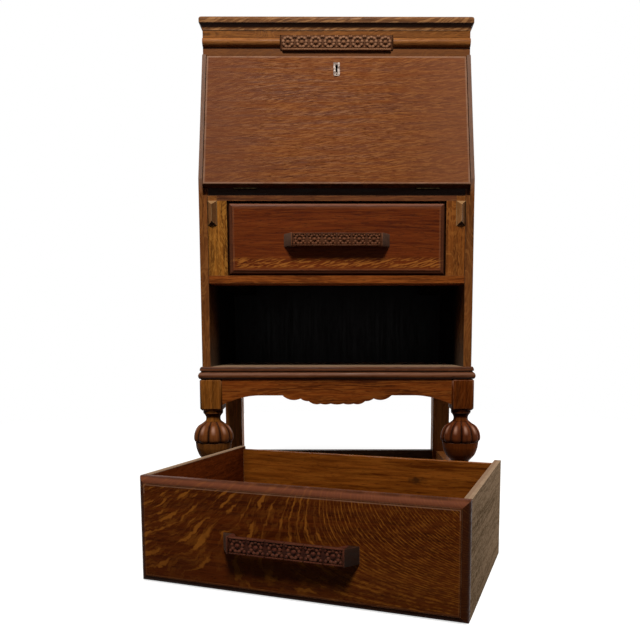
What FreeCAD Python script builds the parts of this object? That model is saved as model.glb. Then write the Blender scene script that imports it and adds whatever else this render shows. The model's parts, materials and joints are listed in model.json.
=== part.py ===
import FreeCAD, Part
import math
import os

# An oak fall-front writing desk on a stand, with its lower drawer taken out and set on the floor.
# Lengths are millimetres. While the pieces are made, x = 0 is the middle of the desk, y = 0 is the
# front of the carcass with the back towards +y, and z = 0 is the floor.

# Carcass
carcass_width = 600.0
carcass_depth = 376.0
side_thick = 18.0
back_thick = 6.0
back_lap = 8.0
bottom_thick = 16.0
front_setback = 3.0
stile_width = 21.0
stile_depth = 20.0
rail_height = 16.5
rail_depth = 60.0
runner_inset = 18.0
guide_foot_height = 12.0

# Fall, writing floor and frieze
fall_thick = 18.0
fall_lap = 9.0
fall_edge_radius = 3.0
fall_rail_height = 11.0
fall_rail_depth = 45.0
slope_foot_rise = 17.0
slope_rise = 286.0
slope_setback = 74.0
frieze_step = 9.0
frieze_height = 55.0
frieze_thick = 16.0
bead_height = 20.0
bead_projection = 8.0
bead_drop = 16.0
carving_length = 254.0
carving_height = 34.0
carving_thick = 7.0
carving_drop = 10.0
carving_seat = 2.0

# Top board, with a rounded upper edge over a cove
top_thick = 29.0
top_overhang = 7.0
top_round = 6.0
top_round_drop = 10.0
cove_height = 14.0
cove_fillet = 1.0

# Fall supports that pull out beside the drawer
loper_thick = 20.0
loper_height = 64.0
loper_length = 330.0
loper_front_height = 53.0
loper_front_projection = 11.0
loper_hip = 9.0

# Drawers
upper_drawer_height = 158.5
upper_drawer_depth = 340.0
lower_drawer_height = 182.0
lower_drawer_depth = 365.0
drawer_front_thick = 20.0
drawer_edge_radius = 11.0
drawer_quirk = 1.5
drawer_side_thick = 12.0
drawer_back_thick = 10.0
drawer_back_drop = 6.0
drawer_bottom_thick = 6.0
drawer_bottom_lift = 9.0
groove_depth = 4.0
handle_length = 232.0
handle_height = 28.0
handle_projection = 22.0
handle_bar = 9.0
handle_cant = 17.0
handle_foot = 20.0
handle_drop = 4.0  # its middle below the middle of the front

# Place of the lower drawer on the floor: middle of its front edge, and its turn
standing_x = -73.5
standing_y = -483.4
standing_turn = 20.0

# Waist moulding between carcass and stand
waist_height = 27.0
waist_step = 5.0
waist_step_corner = 2.5
waist_nose = 8.5
waist_quirk = 3.0
waist_step_height = 9.0
waist_quirk_height = 2.5

# Stand
stand_height = 326.0
stand_width = 613.0
leg_forward = 6.0
leg_size = 50.0
back_leg_size = 44.0
top_block_height = 72.0
low_block_height = 66.0
foot_height = 46.0
foot_radius = 23.0
foot_base_radius = 17.5
foot_swell_height = 20.0
foot_neck_radius = 16.0
foot_neck_height = 5.0
ankle_height = 14.0
ankle_base_radius = 20.0
ankle_swell_radius = 22.5
ankle_radius = 16.0
cup_height = 52.0
cup_swell_radius = 33.5
bulb_ring_radius = 40.5
bulb_rise = 15.0
bulb_radius = 44.6
crown_height = 51.5
crown_swell_radius = 42.8
crown_shoulder_radius = 30.0
crown_shoulder_drop = 8.6
neck_height = 24.5
neck_radius = 16.0
neck_flare_radius = 17.0
collar_radius = 23.5
apron_thick = 20.0
apron_forward = 3.0
apron_height = 57.5
apron_flat_height = 37.0
apron_shoulder = 80.0
apron_lobe_reach = 122.0
apron_lobe_join = 82.0
apron_step_join = 63.0
apron_low_join = 37.0
apron_cusp = 14.0
apron_outer_cusp = 44.2
apron_step_cusp = 50.0
apron_low_cusp = 55.6
apron_inner_cusp = 55.4
apron_hollow_bow = 4.4
apron_outer_bow = 6.4
apron_step_bow = 1.8
apron_low_bow = 3.8
apron_inner_bow = 1.9
stand_rail_height = 58.0
stand_rail_thick = 20.0
stand_rail_inset = 6.0
stretcher_height = 34.0
stretcher_thick = 20.0
stretcher_lift = 76.0

# Stationery shelf behind the fall
shelf_rise = 130.0
shelf_depth = 150.0
shelf_thick = 12.0
divider_thick = 10.0
divider_place = 94.0

# Hinges, lock and escutcheon
hinge_place = 200.0
hinge_width = 50.0
hinge_reach = 24.0
hinge_leaf_thick = 1.6
knuckle_radius = 3.0
knuckle_share = 0.5
pin_radius = 1.4
screw_head_radius = 2.8
screw_head_height = 1.2
screw_radius = 1.3
screw_length = 11.0
screw_spread = 16.0
screw_reach = 15.0
lock_width = 52.0
lock_height = 36.0
lock_thick = 9.0
lock_wall = 2.0
bolt_width = 20.0
bolt_thick = 4.0
bolt_length = 26.0
bolt_travel = 7.0
escutcheon_width = 14.0
escutcheon_height = 32.5
escutcheon_thick = 1.4
escutcheon_corner_radius = 3.9
escutcheon_drop = 34.0
keyhole_radius = 3.2
keyhole_slot_width = 4.4
keyhole_slot_height = 15.0

# Clearances
drawer_side_gap = 1.0
bay_side_gap = 2.5
drawer_lift = 0.3
drawer_head_gap = 1.7
slide_gap = 0.2
loper_gap = 0.5
fall_rest_gap = 0.3
fall_end_gap = 0.4
fall_stop_gap = 0.2
fall_top_gap = 2.5
knuckle_gap = 0.4
pin_gap = 0.05
bolt_gap = 0.2
mortise_gap = 0.4

# How near two points lie when they count as one, and how far along and out a quarter round's middle is
same_point = 1e-6
quarter_middle = math.sqrt(0.5)

# Levels from the floor up
bay_floor_z = stand_height + waist_height
bay_top_z = bay_floor_z + lower_drawer_height + drawer_lift + drawer_head_gap
upper_bay_z = bay_top_z + rail_height
fall_rail_z = upper_bay_z + upper_drawer_height + drawer_lift + drawer_head_gap
writing_floor_z = fall_rail_z + fall_rail_height
writing_floor_thick = fall_thick + fall_rest_gap
writing_z = writing_floor_z + writing_floor_thick
slope_foot_z = writing_z + slope_foot_rise
frieze_z = slope_foot_z + slope_rise
top_z = frieze_z + frieze_height

# Places across and front to back
outer_x = carcass_width / 2
inner_x = outer_x - side_thick
back_y = carcass_depth - back_thick
loper_outer_x = inner_x - loper_gap
loper_inner_x = loper_outer_x - loper_thick
stile_outer_x = loper_inner_x - loper_gap
stile_inner_x = stile_outer_x - stile_width
upper_drawer_width = 2 * (stile_inner_x - drawer_side_gap)
lower_drawer_width = 2 * (inner_x - bay_side_gap)
stile_back_y = front_setback + stile_depth
frieze_y = slope_setback + frieze_step
frieze_back_y = frieze_y + frieze_thick
leg_x = stand_width / 2 - leg_size / 2
leg_y = leg_size / 2 - leg_forward
back_leg_x = stand_width / 2 - back_leg_size / 2
back_leg_y = carcass_depth - back_leg_size / 2

# The fall turns on the line where its inner face meets the writing floor
slope_angle = math.atan2(slope_setback, slope_rise)
hinge_y = fall_thick / math.cos(slope_angle) - slope_foot_rise * math.tan(slope_angle)
fall_up = FreeCAD.Vector(0, math.sin(slope_angle), math.cos(slope_angle))
hinge_point = FreeCAD.Vector(0, hinge_y, writing_z)
slope_top = FreeCAD.Vector(0, slope_setback, frieze_z)
fall_length = (slope_top - hinge_point).dot(fall_up) - fall_top_gap


def box(x_from, x_to, y_from, y_to, z_from, z_to):
    corner = FreeCAD.Vector(x_from, y_from, z_from)
    return Part.makeBox(x_to - x_from, y_to - y_from, z_to - z_from, corner)


def rod(radius, start, end):
    along = end - start
    return Part.makeCylinder(radius, along.Length, start, along)


def mirrored(shape):
    return shape.mirror(FreeCAD.Vector(0, 0, 0), FreeCAD.Vector(1, 0, 0))


def outline(place, start, steps):
    # A closed face: each step is the end of a line, or a middle and an end point of an arc.
    edges = []
    here = place(*start)
    for step in list(steps) + [start]:
        if isinstance(step[0], tuple):
            end = place(*step[1])
            edges.append(Part.Arc(here, place(*step[0]), end).toShape())
        else:
            end = place(*step)
            if (end - here).Length > same_point:
                edges.append(Part.LineSegment(here, end).toShape())
        here = end
    return Part.Face(Part.Wire(edges))


def across(x):
    return lambda y, z: FreeCAD.Vector(x, y, z)


def around(radius, z):
    return FreeCAD.Vector(radius, 0, z)


def turned(start, steps):
    axis = FreeCAD.Vector(0, 0, 1)
    return outline(around, start, steps).revolve(FreeCAD.Vector(0, 0, 0), axis, 360)


def bowed(start, end, bow):
    # Middle point of an arc that stands off its chord by bow, upwards where bow is positive.
    along = end[0] - start[0]
    rise = end[1] - start[1]
    chord = math.hypot(along, rise)
    return ((start[0] + end[0]) / 2 - rise / chord * bow, (start[1] + end[1]) / 2 + along / chord * bow)


def slab(points, x_from, x_to):
    # A board with its outline in the side view, from x_from to x_to.
    face = outline(across(x_from), points[0], points[1:])
    return face.extrude(FreeCAD.Vector(x_to - x_from, 0, 0))


def on_fall(shape):
    # Turns a piece drawn with the fall lying along +z over the hinge line onto the closed fall.
    shape.rotate(FreeCAD.Vector(0, 0, 0), FreeCAD.Vector(1, 0, 0), -math.degrees(slope_angle))
    shape.translate(hinge_point)
    return shape


def top_profile(place):
    nose_z = top_z + cove_height
    rise_z = top_z + top_thick
    round_mid = top_overhang - top_round * (1 - quarter_middle)
    round_mid_z = rise_z - top_round_drop * (1 - quarter_middle)
    cove_mid = (top_overhang - cove_fillet) * (1 - quarter_middle) + cove_fillet
    cove_mid_z = top_z + cove_height * quarter_middle
    steps = [
        (cove_fillet, top_z),
        ((cove_mid, cove_mid_z), (top_overhang - cove_fillet, nose_z)),
        (top_overhang, nose_z),
        (top_overhang, rise_z - top_round_drop),
        ((round_mid, round_mid_z), (top_overhang - top_round, rise_z)),
        (0, rise_z),
    ]
    return outline(place, (0, top_z), steps)


def waist_profile(place):
    step_z = bay_floor_z - waist_step_height
    quirk_z = step_z - waist_quirk_height
    nose_z = (quirk_z + stand_height) / 2
    foot = waist_nose - waist_quirk
    bend = waist_step_corner + (waist_step - waist_step_corner) * quarter_middle
    bend_z = step_z + waist_step_height * quarter_middle
    steps = [
        (waist_step_corner, bay_floor_z),
        ((bend, bend_z), (waist_step, step_z)),
        (waist_quirk, step_z),
        (waist_quirk, quirk_z),
        ((waist_nose, nose_z), (foot, stand_height)),
        (0, stand_height),
    ]
    return outline(place, (0, bay_floor_z), steps)


def mitre(reach, corner_x, corner_y, z_from, z_to):
    # A wedge that holds what lies on the front side of the mitre at the front left corner.
    size = 2 * reach
    points = [
        FreeCAD.Vector(-corner_x, corner_y, z_from),
        FreeCAD.Vector(-corner_x - size, corner_y - size, z_from),
        FreeCAD.Vector(corner_x + size, corner_y - size, z_from),
        FreeCAD.Vector(corner_x, corner_y, z_from),
        FreeCAD.Vector(-corner_x, corner_y, z_from),
    ]
    face = Part.Face(Part.makePolygon(points))
    return face.extrude(FreeCAD.Vector(0, 0, z_to - z_from))


def moulding_runs(profile, reach, corner_y, z_from, z_to):
    # One moulding along the front and one along each side, mitred at the front corners.
    wedge = mitre(reach, outer_x, corner_y, z_from, z_to)
    front_face = profile(lambda out, z: FreeCAD.Vector(-outer_x - reach, corner_y - out, z))
    front = front_face.extrude(FreeCAD.Vector(2 * (outer_x + reach), 0, 0)).common(wedge)
    left_face = profile(lambda out, z: FreeCAD.Vector(-outer_x - out, corner_y - reach, z))
    left = left_face.extrude(FreeCAD.Vector(0, carcass_depth + reach - corner_y, 0)).cut(wedge)
    return front, left, mirrored(left)


def top_board():
    board = box(-outer_x, outer_x, frieze_y, carcass_depth, top_z, top_z + top_thick)
    runs = moulding_runs(top_profile, top_overhang, frieze_y, top_z, top_z + top_thick)
    return board.multiFuse(list(runs)).removeSplitter()


def fall_room():
    # What the ends of the fall sweep through in the edges of the sides.
    low_z = writing_z - writing_floor_thick
    stop_y = fall_stop_gap / math.cos(slope_angle)
    back_line = hinge_y + stop_y
    lean = math.tan(slope_angle)
    points = [
        (-fall_thick, low_z),
        (back_line, low_z),
        (back_line, writing_z),
        (back_line + (top_z - writing_z) * lean, top_z),
        (-fall_thick, top_z),
    ]
    reach = inner_x + fall_lap + fall_end_gap
    return slab(points, -reach, reach)


def side_left():
    points = [
        (0, stand_height),
        (0, slope_foot_z),
        (slope_setback, frieze_z),
        (frieze_back_y, frieze_z),
        (frieze_back_y, top_z),
        (carcass_depth, top_z),
        (carcass_depth, stand_height),
    ]
    board = slab(points, -outer_x, -inner_x)
    rebate = box(-inner_x - back_lap, -inner_x, back_y, carcass_depth, stand_height, top_z)
    below_ledge = fall_room().common(
        box(-outer_x, outer_x, -fall_thick, carcass_depth, stand_height, frieze_z))
    return board.cut(rebate).cut(below_ledge)


def back_panel():
    reach = inner_x + back_lap
    return box(-reach, reach, back_y, carcass_depth, stand_height, top_z)


def bolt_mortise():
    # Room for the thrown bolt in the underside of the frieze board.
    reach = bolt_width / 2 + mortise_gap
    middle = -lock_thick / 2
    half = bolt_thick / 2 + mortise_gap
    depth = fall_length + bolt_travel + mortise_gap + fall_top_gap
    return on_fall(box(-reach, reach, middle - half, middle + half, fall_length, depth))


def frieze_board():
    board = box(-outer_x, outer_x, frieze_y, frieze_back_y, frieze_z, top_z)
    seat_z = top_z - carving_drop - carving_height
    seat = box(-carving_length / 2, carving_length / 2, frieze_y, frieze_y + carving_seat,
               seat_z, seat_z + carving_height)
    return board.cut(seat).cut(bolt_mortise())


def frieze_bead_left():
    bead_top = top_z - bead_drop
    middle_z = bead_top - bead_height / 2
    face = outline(across(-outer_x), (frieze_y, bead_top),
                   [((frieze_y - bead_projection, middle_z), (frieze_y, bead_top - bead_height))])
    return face.extrude(FreeCAD.Vector(outer_x - carving_length / 2, 0, 0))


def frieze_carving():
    low_z = top_z - carving_drop - carving_height
    return box(-carving_length / 2, carving_length / 2, frieze_y - carving_thick,
               frieze_y + carving_seat, low_z, low_z + carving_height)


def writing_floor():
    front_y = hinge_y + fall_rest_gap
    board = box(-inner_x, inner_x, front_y, back_y, writing_floor_z, writing_z)
    for place in (-hinge_place, hinge_place):
        board = board.cut(knuckle_room(place))
        board = board.cut(floor_leaf_seat(place))
        for screw_shape in floor_screws(place):
            board = board.cut(screw_shape)
    return board


def fall_rail():
    return box(-stile_outer_x, stile_outer_x, front_setback, front_setback + fall_rail_depth,
               fall_rail_z, writing_floor_z)


def loper_floor_z():
    return writing_floor_z - slide_gap - loper_height


def stile_left():
    board = box(-inner_x, -stile_inner_x, front_setback, stile_back_y, upper_bay_z, fall_rail_z)
    notch = box(-inner_x, -stile_outer_x, front_setback, stile_back_y,
                loper_floor_z() - slide_gap, fall_rail_z)
    return board.cut(notch)


def loper_guide_left():
    # The upright keeps drawer and loper apart, and its foot carries the loper.
    shelf_z = loper_floor_z() - slide_gap
    upright = box(-stile_outer_x, -stile_inner_x, stile_back_y, back_y, upper_bay_z, fall_rail_z)
    over = box(-stile_outer_x, -stile_inner_x, front_setback + fall_rail_depth, back_y,
               fall_rail_z, writing_floor_z)
    foot = box(-inner_x, -stile_outer_x, stile_back_y, back_y, shelf_z - guide_foot_height, shelf_z)
    return upright.multiFuse([over, foot]).removeSplitter()


def drawer_rail():
    return box(-inner_x, inner_x, front_setback, front_setback + rail_depth, bay_top_z, upper_bay_z)


def drawer_runner_left():
    return box(-inner_x, -stile_inner_x + runner_inset, front_setback + rail_depth, back_y,
               bay_top_z, upper_bay_z)


def bottom_board():
    return box(-inner_x, inner_x, 0, back_y, bay_floor_z - bottom_thick, bay_floor_z)


def shelf_z():
    return writing_z + shelf_rise


def stationery_shelf():
    return box(-inner_x, inner_x, back_y - shelf_depth, back_y, shelf_z(), shelf_z() + shelf_thick)


def stationery_divider_left():
    return box(-divider_place - divider_thick / 2, -divider_place + divider_thick / 2,
               back_y - shelf_depth, back_y, writing_z, shelf_z())


def floor_leaf_seat(place):
    half = hinge_width / 2
    return box(place - half, place + half, hinge_y, hinge_y + hinge_reach,
               writing_z - hinge_leaf_thick, writing_z)


def fall_leaf_seat(place):
    half = hinge_width / 2
    return box(place - half, place + half, -hinge_leaf_thick, 0, 0, hinge_reach)


def hinge_axis(place, half):
    start = FreeCAD.Vector(place - half, hinge_y, writing_z)
    end = FreeCAD.Vector(place + half, hinge_y, writing_z)
    return start, end


def knuckle_room(place):
    start, end = hinge_axis(place, hinge_width / 2 + knuckle_gap)
    return rod(knuckle_radius + knuckle_gap, start, end)


def middle_knuckle(place, grow):
    start, end = hinge_axis(place, hinge_width * knuckle_share / 2 + grow)
    return rod(knuckle_radius + grow, start, end)


def end_knuckles(place):
    # Room round the two outer knuckles, which belong to the leaf in the floor.
    start, end = hinge_axis(place, hinge_width / 2 + knuckle_gap)
    inner_start, inner_end = hinge_axis(place, hinge_width * knuckle_share / 2)
    room = knuckle_radius + knuckle_gap
    return rod(room, start, inner_start).fuse(rod(room, inner_end, end))


def pin_hole(place):
    start, end = hinge_axis(place, hinge_width)
    return rod(pin_radius + pin_gap, start, end)


def hinge_floor_leaf(place):
    start, end = hinge_axis(place, hinge_width / 2)
    leaf = floor_leaf_seat(place).fuse(rod(knuckle_radius, start, end))
    leaf = leaf.cut(middle_knuckle(place, knuckle_gap)).cut(pin_hole(place))
    for screw_shape in floor_screws(place):
        leaf = leaf.cut(screw_shape)
    return leaf.removeSplitter()


def hinge_fall_leaf(place):
    leaf = on_fall(fall_leaf_seat(place))
    leaf = leaf.cut(end_knuckles(place)).fuse(middle_knuckle(place, 0)).cut(pin_hole(place))
    for screw_shape in fall_screws(place):
        leaf = leaf.cut(screw_shape)
    return leaf.removeSplitter()


def hinge_pin(place):
    start, end = hinge_axis(place, hinge_width / 2)
    return rod(pin_radius, start, end)


def screw(point, inward):
    head = rod(screw_head_radius, point, point + inward * screw_head_height)
    shank = rod(screw_radius, point, point + inward * screw_length)
    return head.fuse(shank).removeSplitter()


def floor_screws(place):
    inward = FreeCAD.Vector(0, 0, -1)
    return [screw(FreeCAD.Vector(place + side * screw_spread, hinge_y + screw_reach, writing_z), inward)
            for side in (-1, 1)]


def fall_screws(place):
    inward = FreeCAD.Vector(0, -1, 0)
    return [on_fall(screw(FreeCAD.Vector(place + side * screw_spread, 0, screw_reach), inward))
            for side in (-1, 1)]


def keyhole(y_from, y_to):
    # A round hole with a slot under it, through the thickness from y_from to y_to.
    eye_z = fall_length - escutcheon_drop + keyhole_slot_height / 2
    eye = rod(keyhole_radius, FreeCAD.Vector(0, y_from, eye_z), FreeCAD.Vector(0, y_to, eye_z))
    slot_side = keyhole_slot_width / 2
    slot = box(-slot_side, slot_side, y_from, y_to, eye_z - keyhole_slot_height, eye_z)
    return eye.fuse(slot)


def lock_room():
    reach = lock_width / 2
    return box(-reach, reach, -lock_thick, 0, fall_length - lock_height, fall_length)


def bolt_room():
    reach = bolt_width / 2 + bolt_gap
    middle = -lock_thick / 2
    half = bolt_thick / 2 + bolt_gap
    low_z = fall_length - bolt_length - bolt_travel
    return box(-reach, reach, middle - half, middle + half, low_z, fall_length)


def fall_panel():
    reach = inner_x + fall_lap
    panel = box(-reach, reach, -fall_thick, 0, 0, fall_length)
    front_edges = [edge for edge in panel.Edges
                   if all(abs(vertex.Y + fall_thick) < same_point for vertex in edge.Vertexes)]
    panel = panel.makeFillet(fall_edge_radius, front_edges)
    panel = panel.cut(lock_room()).cut(keyhole(-fall_thick, 0))
    for place in (-hinge_place, hinge_place):
        panel = panel.cut(fall_leaf_seat(place))
    panel = on_fall(panel)
    for place in (-hinge_place, hinge_place):
        panel = panel.cut(knuckle_room(place))
        for screw_shape in fall_screws(place):
            panel = panel.cut(screw_shape)
    return panel


def lock_case():
    return on_fall(lock_room().cut(bolt_room()).cut(keyhole(-lock_thick, -lock_thick + lock_wall)))


def lock_bolt():
    middle = -lock_thick / 2
    low_z = fall_length - bolt_length
    return on_fall(box(-bolt_width / 2, bolt_width / 2, middle - bolt_thick / 2, middle + bolt_thick / 2,
                       low_z - slide_gap, fall_length - slide_gap))


def escutcheon():
    low_z = fall_length - escutcheon_drop - escutcheon_height / 2
    plate = box(-escutcheon_width / 2, escutcheon_width / 2, -fall_thick - escutcheon_thick, -fall_thick,
                low_z, low_z + escutcheon_height)
    low_corners = [edge for edge in plate.Edges
                   if all(abs(vertex.Z - low_z) < same_point for vertex in edge.Vertexes)
                   and abs(edge.Vertexes[0].Y - edge.Vertexes[1].Y) > escutcheon_thick / 2]
    plate = plate.makeFillet(escutcheon_corner_radius, low_corners)
    return on_fall(plate.cut(keyhole(-fall_thick - escutcheon_thick, -fall_thick)))


def loper_left():
    low_z = loper_floor_z()
    return box(-loper_outer_x, -loper_inner_x, front_setback, front_setback + loper_length,
               low_z, low_z + loper_height)


def loper_front_left():
    # A faceted front with a ridge down its middle and a hip at each end.
    low_z = loper_floor_z()
    high_z = low_z + loper_front_height
    middle_x = -(loper_outer_x + loper_inner_x) / 2
    ridge_y = front_setback - loper_front_projection
    base = [
        FreeCAD.Vector(-loper_outer_x, front_setback, low_z),
        FreeCAD.Vector(-loper_inner_x, front_setback, low_z),
        FreeCAD.Vector(-loper_inner_x, front_setback, high_z),
        FreeCAD.Vector(-loper_outer_x, front_setback, high_z),
    ]
    low_ridge = FreeCAD.Vector(middle_x, ridge_y, low_z + loper_hip)
    high_ridge = FreeCAD.Vector(middle_x, ridge_y, high_z - loper_hip)
    facets = [
        base,
        [base[0], base[1], low_ridge],
        [base[1], base[2], high_ridge, low_ridge],
        [base[2], base[3], high_ridge],
        [base[3], base[0], low_ridge, high_ridge],
    ]
    faces = [Part.Face(Part.makePolygon(facet + [facet[0]])) for facet in facets]
    return Part.makeSolid(Part.makeShell(faces))


def drawer_pieces(width, height, depth):
    # A drawer standing on z = 0 with the middle of its front at the origin.
    half = width / 2
    inside = half - drawer_side_thick
    side_end = depth - drawer_back_thick
    bottom_top = drawer_bottom_lift + drawer_bottom_thick
    bottom = box(-inside - groove_depth, inside + groove_depth, drawer_front_thick - groove_depth, depth,
                 drawer_bottom_lift, bottom_top)
    front = drawer_front(half, height).cut(bottom)
    side = box(-half, -inside, drawer_front_thick, depth, 0, height).cut(bottom)
    back = box(-inside, inside, side_end, depth, bottom_top, height - drawer_back_drop)
    return {
        "front": front,
        "side_left": side,
        "side_right": mirrored(side),
        "back": back,
        "bottom": bottom,
        "handle": handle(height / 2 - handle_drop),
    }


def drawer_front(half, height):
    # A board with a rounded border that drops a small step below its flat field.
    board = box(-half, half, drawer_quirk, drawer_front_thick, 0, height)
    edges = [edge for edge in board.Edges
             if all(abs(vertex.Y - drawer_quirk) < same_point for vertex in edge.Vertexes)]
    board = board.makeFillet(drawer_edge_radius, edges)
    inset = drawer_edge_radius
    field = box(-half + inset, half - inset, 0, drawer_front_thick, inset, height - inset)
    return board.fuse(field).removeSplitter()


def handle(middle_z):
    # A bar with canted ends that stands off the drawer front on a foot at each end.
    low_z = middle_z - handle_height / 2
    half = handle_length / 2
    gap = handle_projection - handle_bar
    slant = handle_cant * gap / handle_projection
    plan = [
        (-half, 0),
        (-half + handle_cant, -handle_projection),
        (half - handle_cant, -handle_projection),
        (half, 0),
        (half - handle_foot, 0),
        (half - handle_foot - slant, -gap),
        (-half + handle_foot + slant, -gap),
        (-half + handle_foot, 0),
    ]
    face = outline(lambda x, y: FreeCAD.Vector(x, y, low_z), plan[0], plan[1:])
    return face.extrude(FreeCAD.Vector(0, 0, handle_height))


def on_floor(shape):
    # Sets a piece of the lower drawer where the drawer stands in front of the desk.
    shape.rotate(FreeCAD.Vector(0, 0, 0), FreeCAD.Vector(0, 0, 1), -standing_turn)
    shape.translate(FreeCAD.Vector(standing_x, standing_y, 0))
    return shape


def turned_leg():
    # The turned part of a front leg: ankle, cup, crown, neck and collar share the room between its two
    # square blocks in the measure of their own heights.
    low_z = foot_height + low_block_height
    high_z = stand_height - top_block_height
    share = (high_z - low_z) / (ankle_height + cup_height + crown_height + neck_height)
    neck_z = high_z - neck_height * share
    ring_z = neck_z - crown_height * share
    cup_z = ring_z - cup_height * share
    steps = [
        (ankle_base_radius, low_z),
        ((ankle_swell_radius, (low_z + cup_z) / 2), (ankle_radius, cup_z)),
        ((cup_swell_radius, (cup_z + ring_z) / 2), (bulb_ring_radius, ring_z)),
        ((bulb_radius, ring_z + bulb_rise * share), (crown_swell_radius, (ring_z + neck_z) / 2)),
        ((crown_shoulder_radius, neck_z - crown_shoulder_drop * share), (neck_radius, neck_z)),
        ((neck_flare_radius, (neck_z + high_z) / 2), (collar_radius, high_z)),
        (0, high_z),
    ]
    return turned((0, low_z), steps)


def turned_foot():
    neck_z = foot_height - foot_neck_height
    steps = [
        (foot_base_radius, 0),
        ((foot_radius, foot_swell_height), (foot_neck_radius, neck_z)),
        (foot_neck_radius, foot_height),
        (0, foot_height),
    ]
    return turned((0, 0), steps)


def leg_front_left():
    half = leg_size / 2
    low_block = box(-half, half, -half, half, foot_height, foot_height + low_block_height)
    top_block = box(-half, half, -half, half, stand_height - top_block_height, stand_height)
    leg = turned_leg().multiFuse([turned_foot(), low_block, top_block]).removeSplitter()
    leg.translate(FreeCAD.Vector(-leg_x, leg_y, 0))
    return leg


def leg_back_left():
    half = back_leg_size / 2
    return box(-back_leg_x - half, -back_leg_x + half, back_leg_y - half, back_leg_y + half,
               0, stand_height)


def flipped(point):
    return (-point[0], point[1])


def apron():
    # A front rail with a lobed lower edge, drawn from the left leg to the right one.
    reach = leg_x - leg_size / 2
    low_z = stand_height - apron_height
    flat_z = stand_height - apron_flat_height
    shoulder_x = reach - apron_shoulder
    hollow = bowed((-reach, low_z), (-shoulder_x, flat_z), apron_hollow_bow)
    cusps = [
        (-apron_lobe_reach, flat_z),
        (-apron_lobe_join, stand_height - apron_outer_cusp),
        (-apron_step_join, stand_height - apron_step_cusp),
        (-apron_low_join, stand_height - apron_low_cusp),
        (-apron_cusp, stand_height - apron_inner_cusp),
    ]
    bows = [apron_outer_bow, apron_step_bow, apron_low_bow, apron_inner_bow]
    lobes = [bowed(start, end, -bow) for start, end, bow in zip(cusps, cusps[1:], bows)]
    left = [(hollow, (-shoulder_x, flat_z)), cusps[0], *zip(lobes, cusps[1:])]
    right = [((0, low_z), flipped(cusps[-1]))]
    right += [(flipped(lobe), flipped(cusp)) for lobe, cusp in zip(reversed(lobes), reversed(cusps[:-1]))]
    right += [
        (shoulder_x, flat_z),
        (flipped(hollow), (reach, low_z)),
        (reach, stand_height),
        (-reach, stand_height),
    ]
    face = outline(lambda x, z: FreeCAD.Vector(x, -apron_forward, z), (-reach, low_z), left + right)
    return face.extrude(FreeCAD.Vector(0, apron_thick, 0))


def stand_rail_left():
    rail_x = stand_width / 2 - stand_rail_inset
    return box(-rail_x, -rail_x + stand_rail_thick, leg_y + leg_size / 2, back_leg_y - back_leg_size / 2,
               stand_height - stand_rail_height, stand_height)


def stand_rail_back():
    reach = back_leg_x - back_leg_size / 2
    rail_y = carcass_depth - stand_rail_inset
    return box(-reach, reach, rail_y - stand_rail_thick, rail_y,
               stand_height - stand_rail_height, stand_height)


def stretcher_left():
    half = stretcher_thick / 2
    return box(-leg_x - half, -leg_x + half, leg_y + leg_size / 2, back_leg_y - back_leg_size / 2,
               stretcher_lift, stretcher_lift + stretcher_height)


def stretcher_back():
    reach = back_leg_x - back_leg_size / 2
    half = stretcher_thick / 2
    return box(-reach, reach, back_leg_y - half, back_leg_y + half,
               stretcher_lift, stretcher_lift + stretcher_height)


def footprint_middle():
    # Middle of everything that stands on the floor, seen from above.
    turn = math.radians(standing_turn)
    corners = []
    for side in (-lower_drawer_width / 2, lower_drawer_width / 2):
        for deep in (0, lower_drawer_depth):
            x = standing_x + side * math.cos(turn) + deep * math.sin(turn)
            y = standing_y - side * math.sin(turn) + deep * math.cos(turn)
            corners.append((x, y))
    widest = max(leg_x + bulb_radius, outer_x + top_overhang, stand_width / 2, outer_x + waist_nose)
    xs = [corner[0] for corner in corners] + [-widest, widest]
    ys = [corner[1] for corner in corners] + [carcass_depth]
    return FreeCAD.Vector((min(xs) + max(xs)) / 2, (min(ys) + max(ys)) / 2, 0)


def pairs(name, left):
    return {name + "_left": left, name + "_right": mirrored(left)}


def carcass():
    waist = moulding_runs(waist_profile, waist_nose, 0, stand_height, bay_floor_z)
    pieces = {
        "top_board": top_board(),
        "frieze_board": frieze_board(),
        "frieze_carving": frieze_carving(),
        "back_panel": back_panel(),
        "writing_floor": writing_floor(),
        "fall_rail": fall_rail(),
        "drawer_rail": drawer_rail(),
        "bottom_board": bottom_board(),
        "waist_front": waist[0],
        "waist_left": waist[1],
        "waist_right": waist[2],
        "stationery_shelf": stationery_shelf(),
    }
    pieces.update(pairs("frieze_bead", frieze_bead_left()))
    pieces.update(pairs("side", side_left()))
    pieces.update(pairs("stile", stile_left()))
    pieces.update(pairs("loper_guide", loper_guide_left()))
    pieces.update(pairs("drawer_runner", drawer_runner_left()))
    pieces.update(pairs("stationery_divider", stationery_divider_left()))
    return pieces


def fall():
    places = (-hinge_place, hinge_place)
    floor_screw_list = [shape for place in places for shape in floor_screws(place)]
    fall_screw_list = [shape for place in places for shape in fall_screws(place)]
    return {
        "fall_panel": fall_panel(),
        "lock_case": lock_case(),
        "lock_bolt": lock_bolt(),
        "escutcheon": escutcheon(),
        "hinge_floor_leaves": Part.makeCompound([hinge_floor_leaf(place) for place in places]),
        "hinge_fall_leaves": Part.makeCompound([hinge_fall_leaf(place) for place in places]),
        "hinge_pins": Part.makeCompound([hinge_pin(place) for place in places]),
        "hinge_floor_screws": Part.makeCompound(floor_screw_list),
        "hinge_fall_screws": Part.makeCompound(fall_screw_list),
    }


def lopers():
    pieces = pairs("loper", loper_left())
    pieces.update(pairs("loper_front", loper_front_left()))
    return pieces


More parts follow.
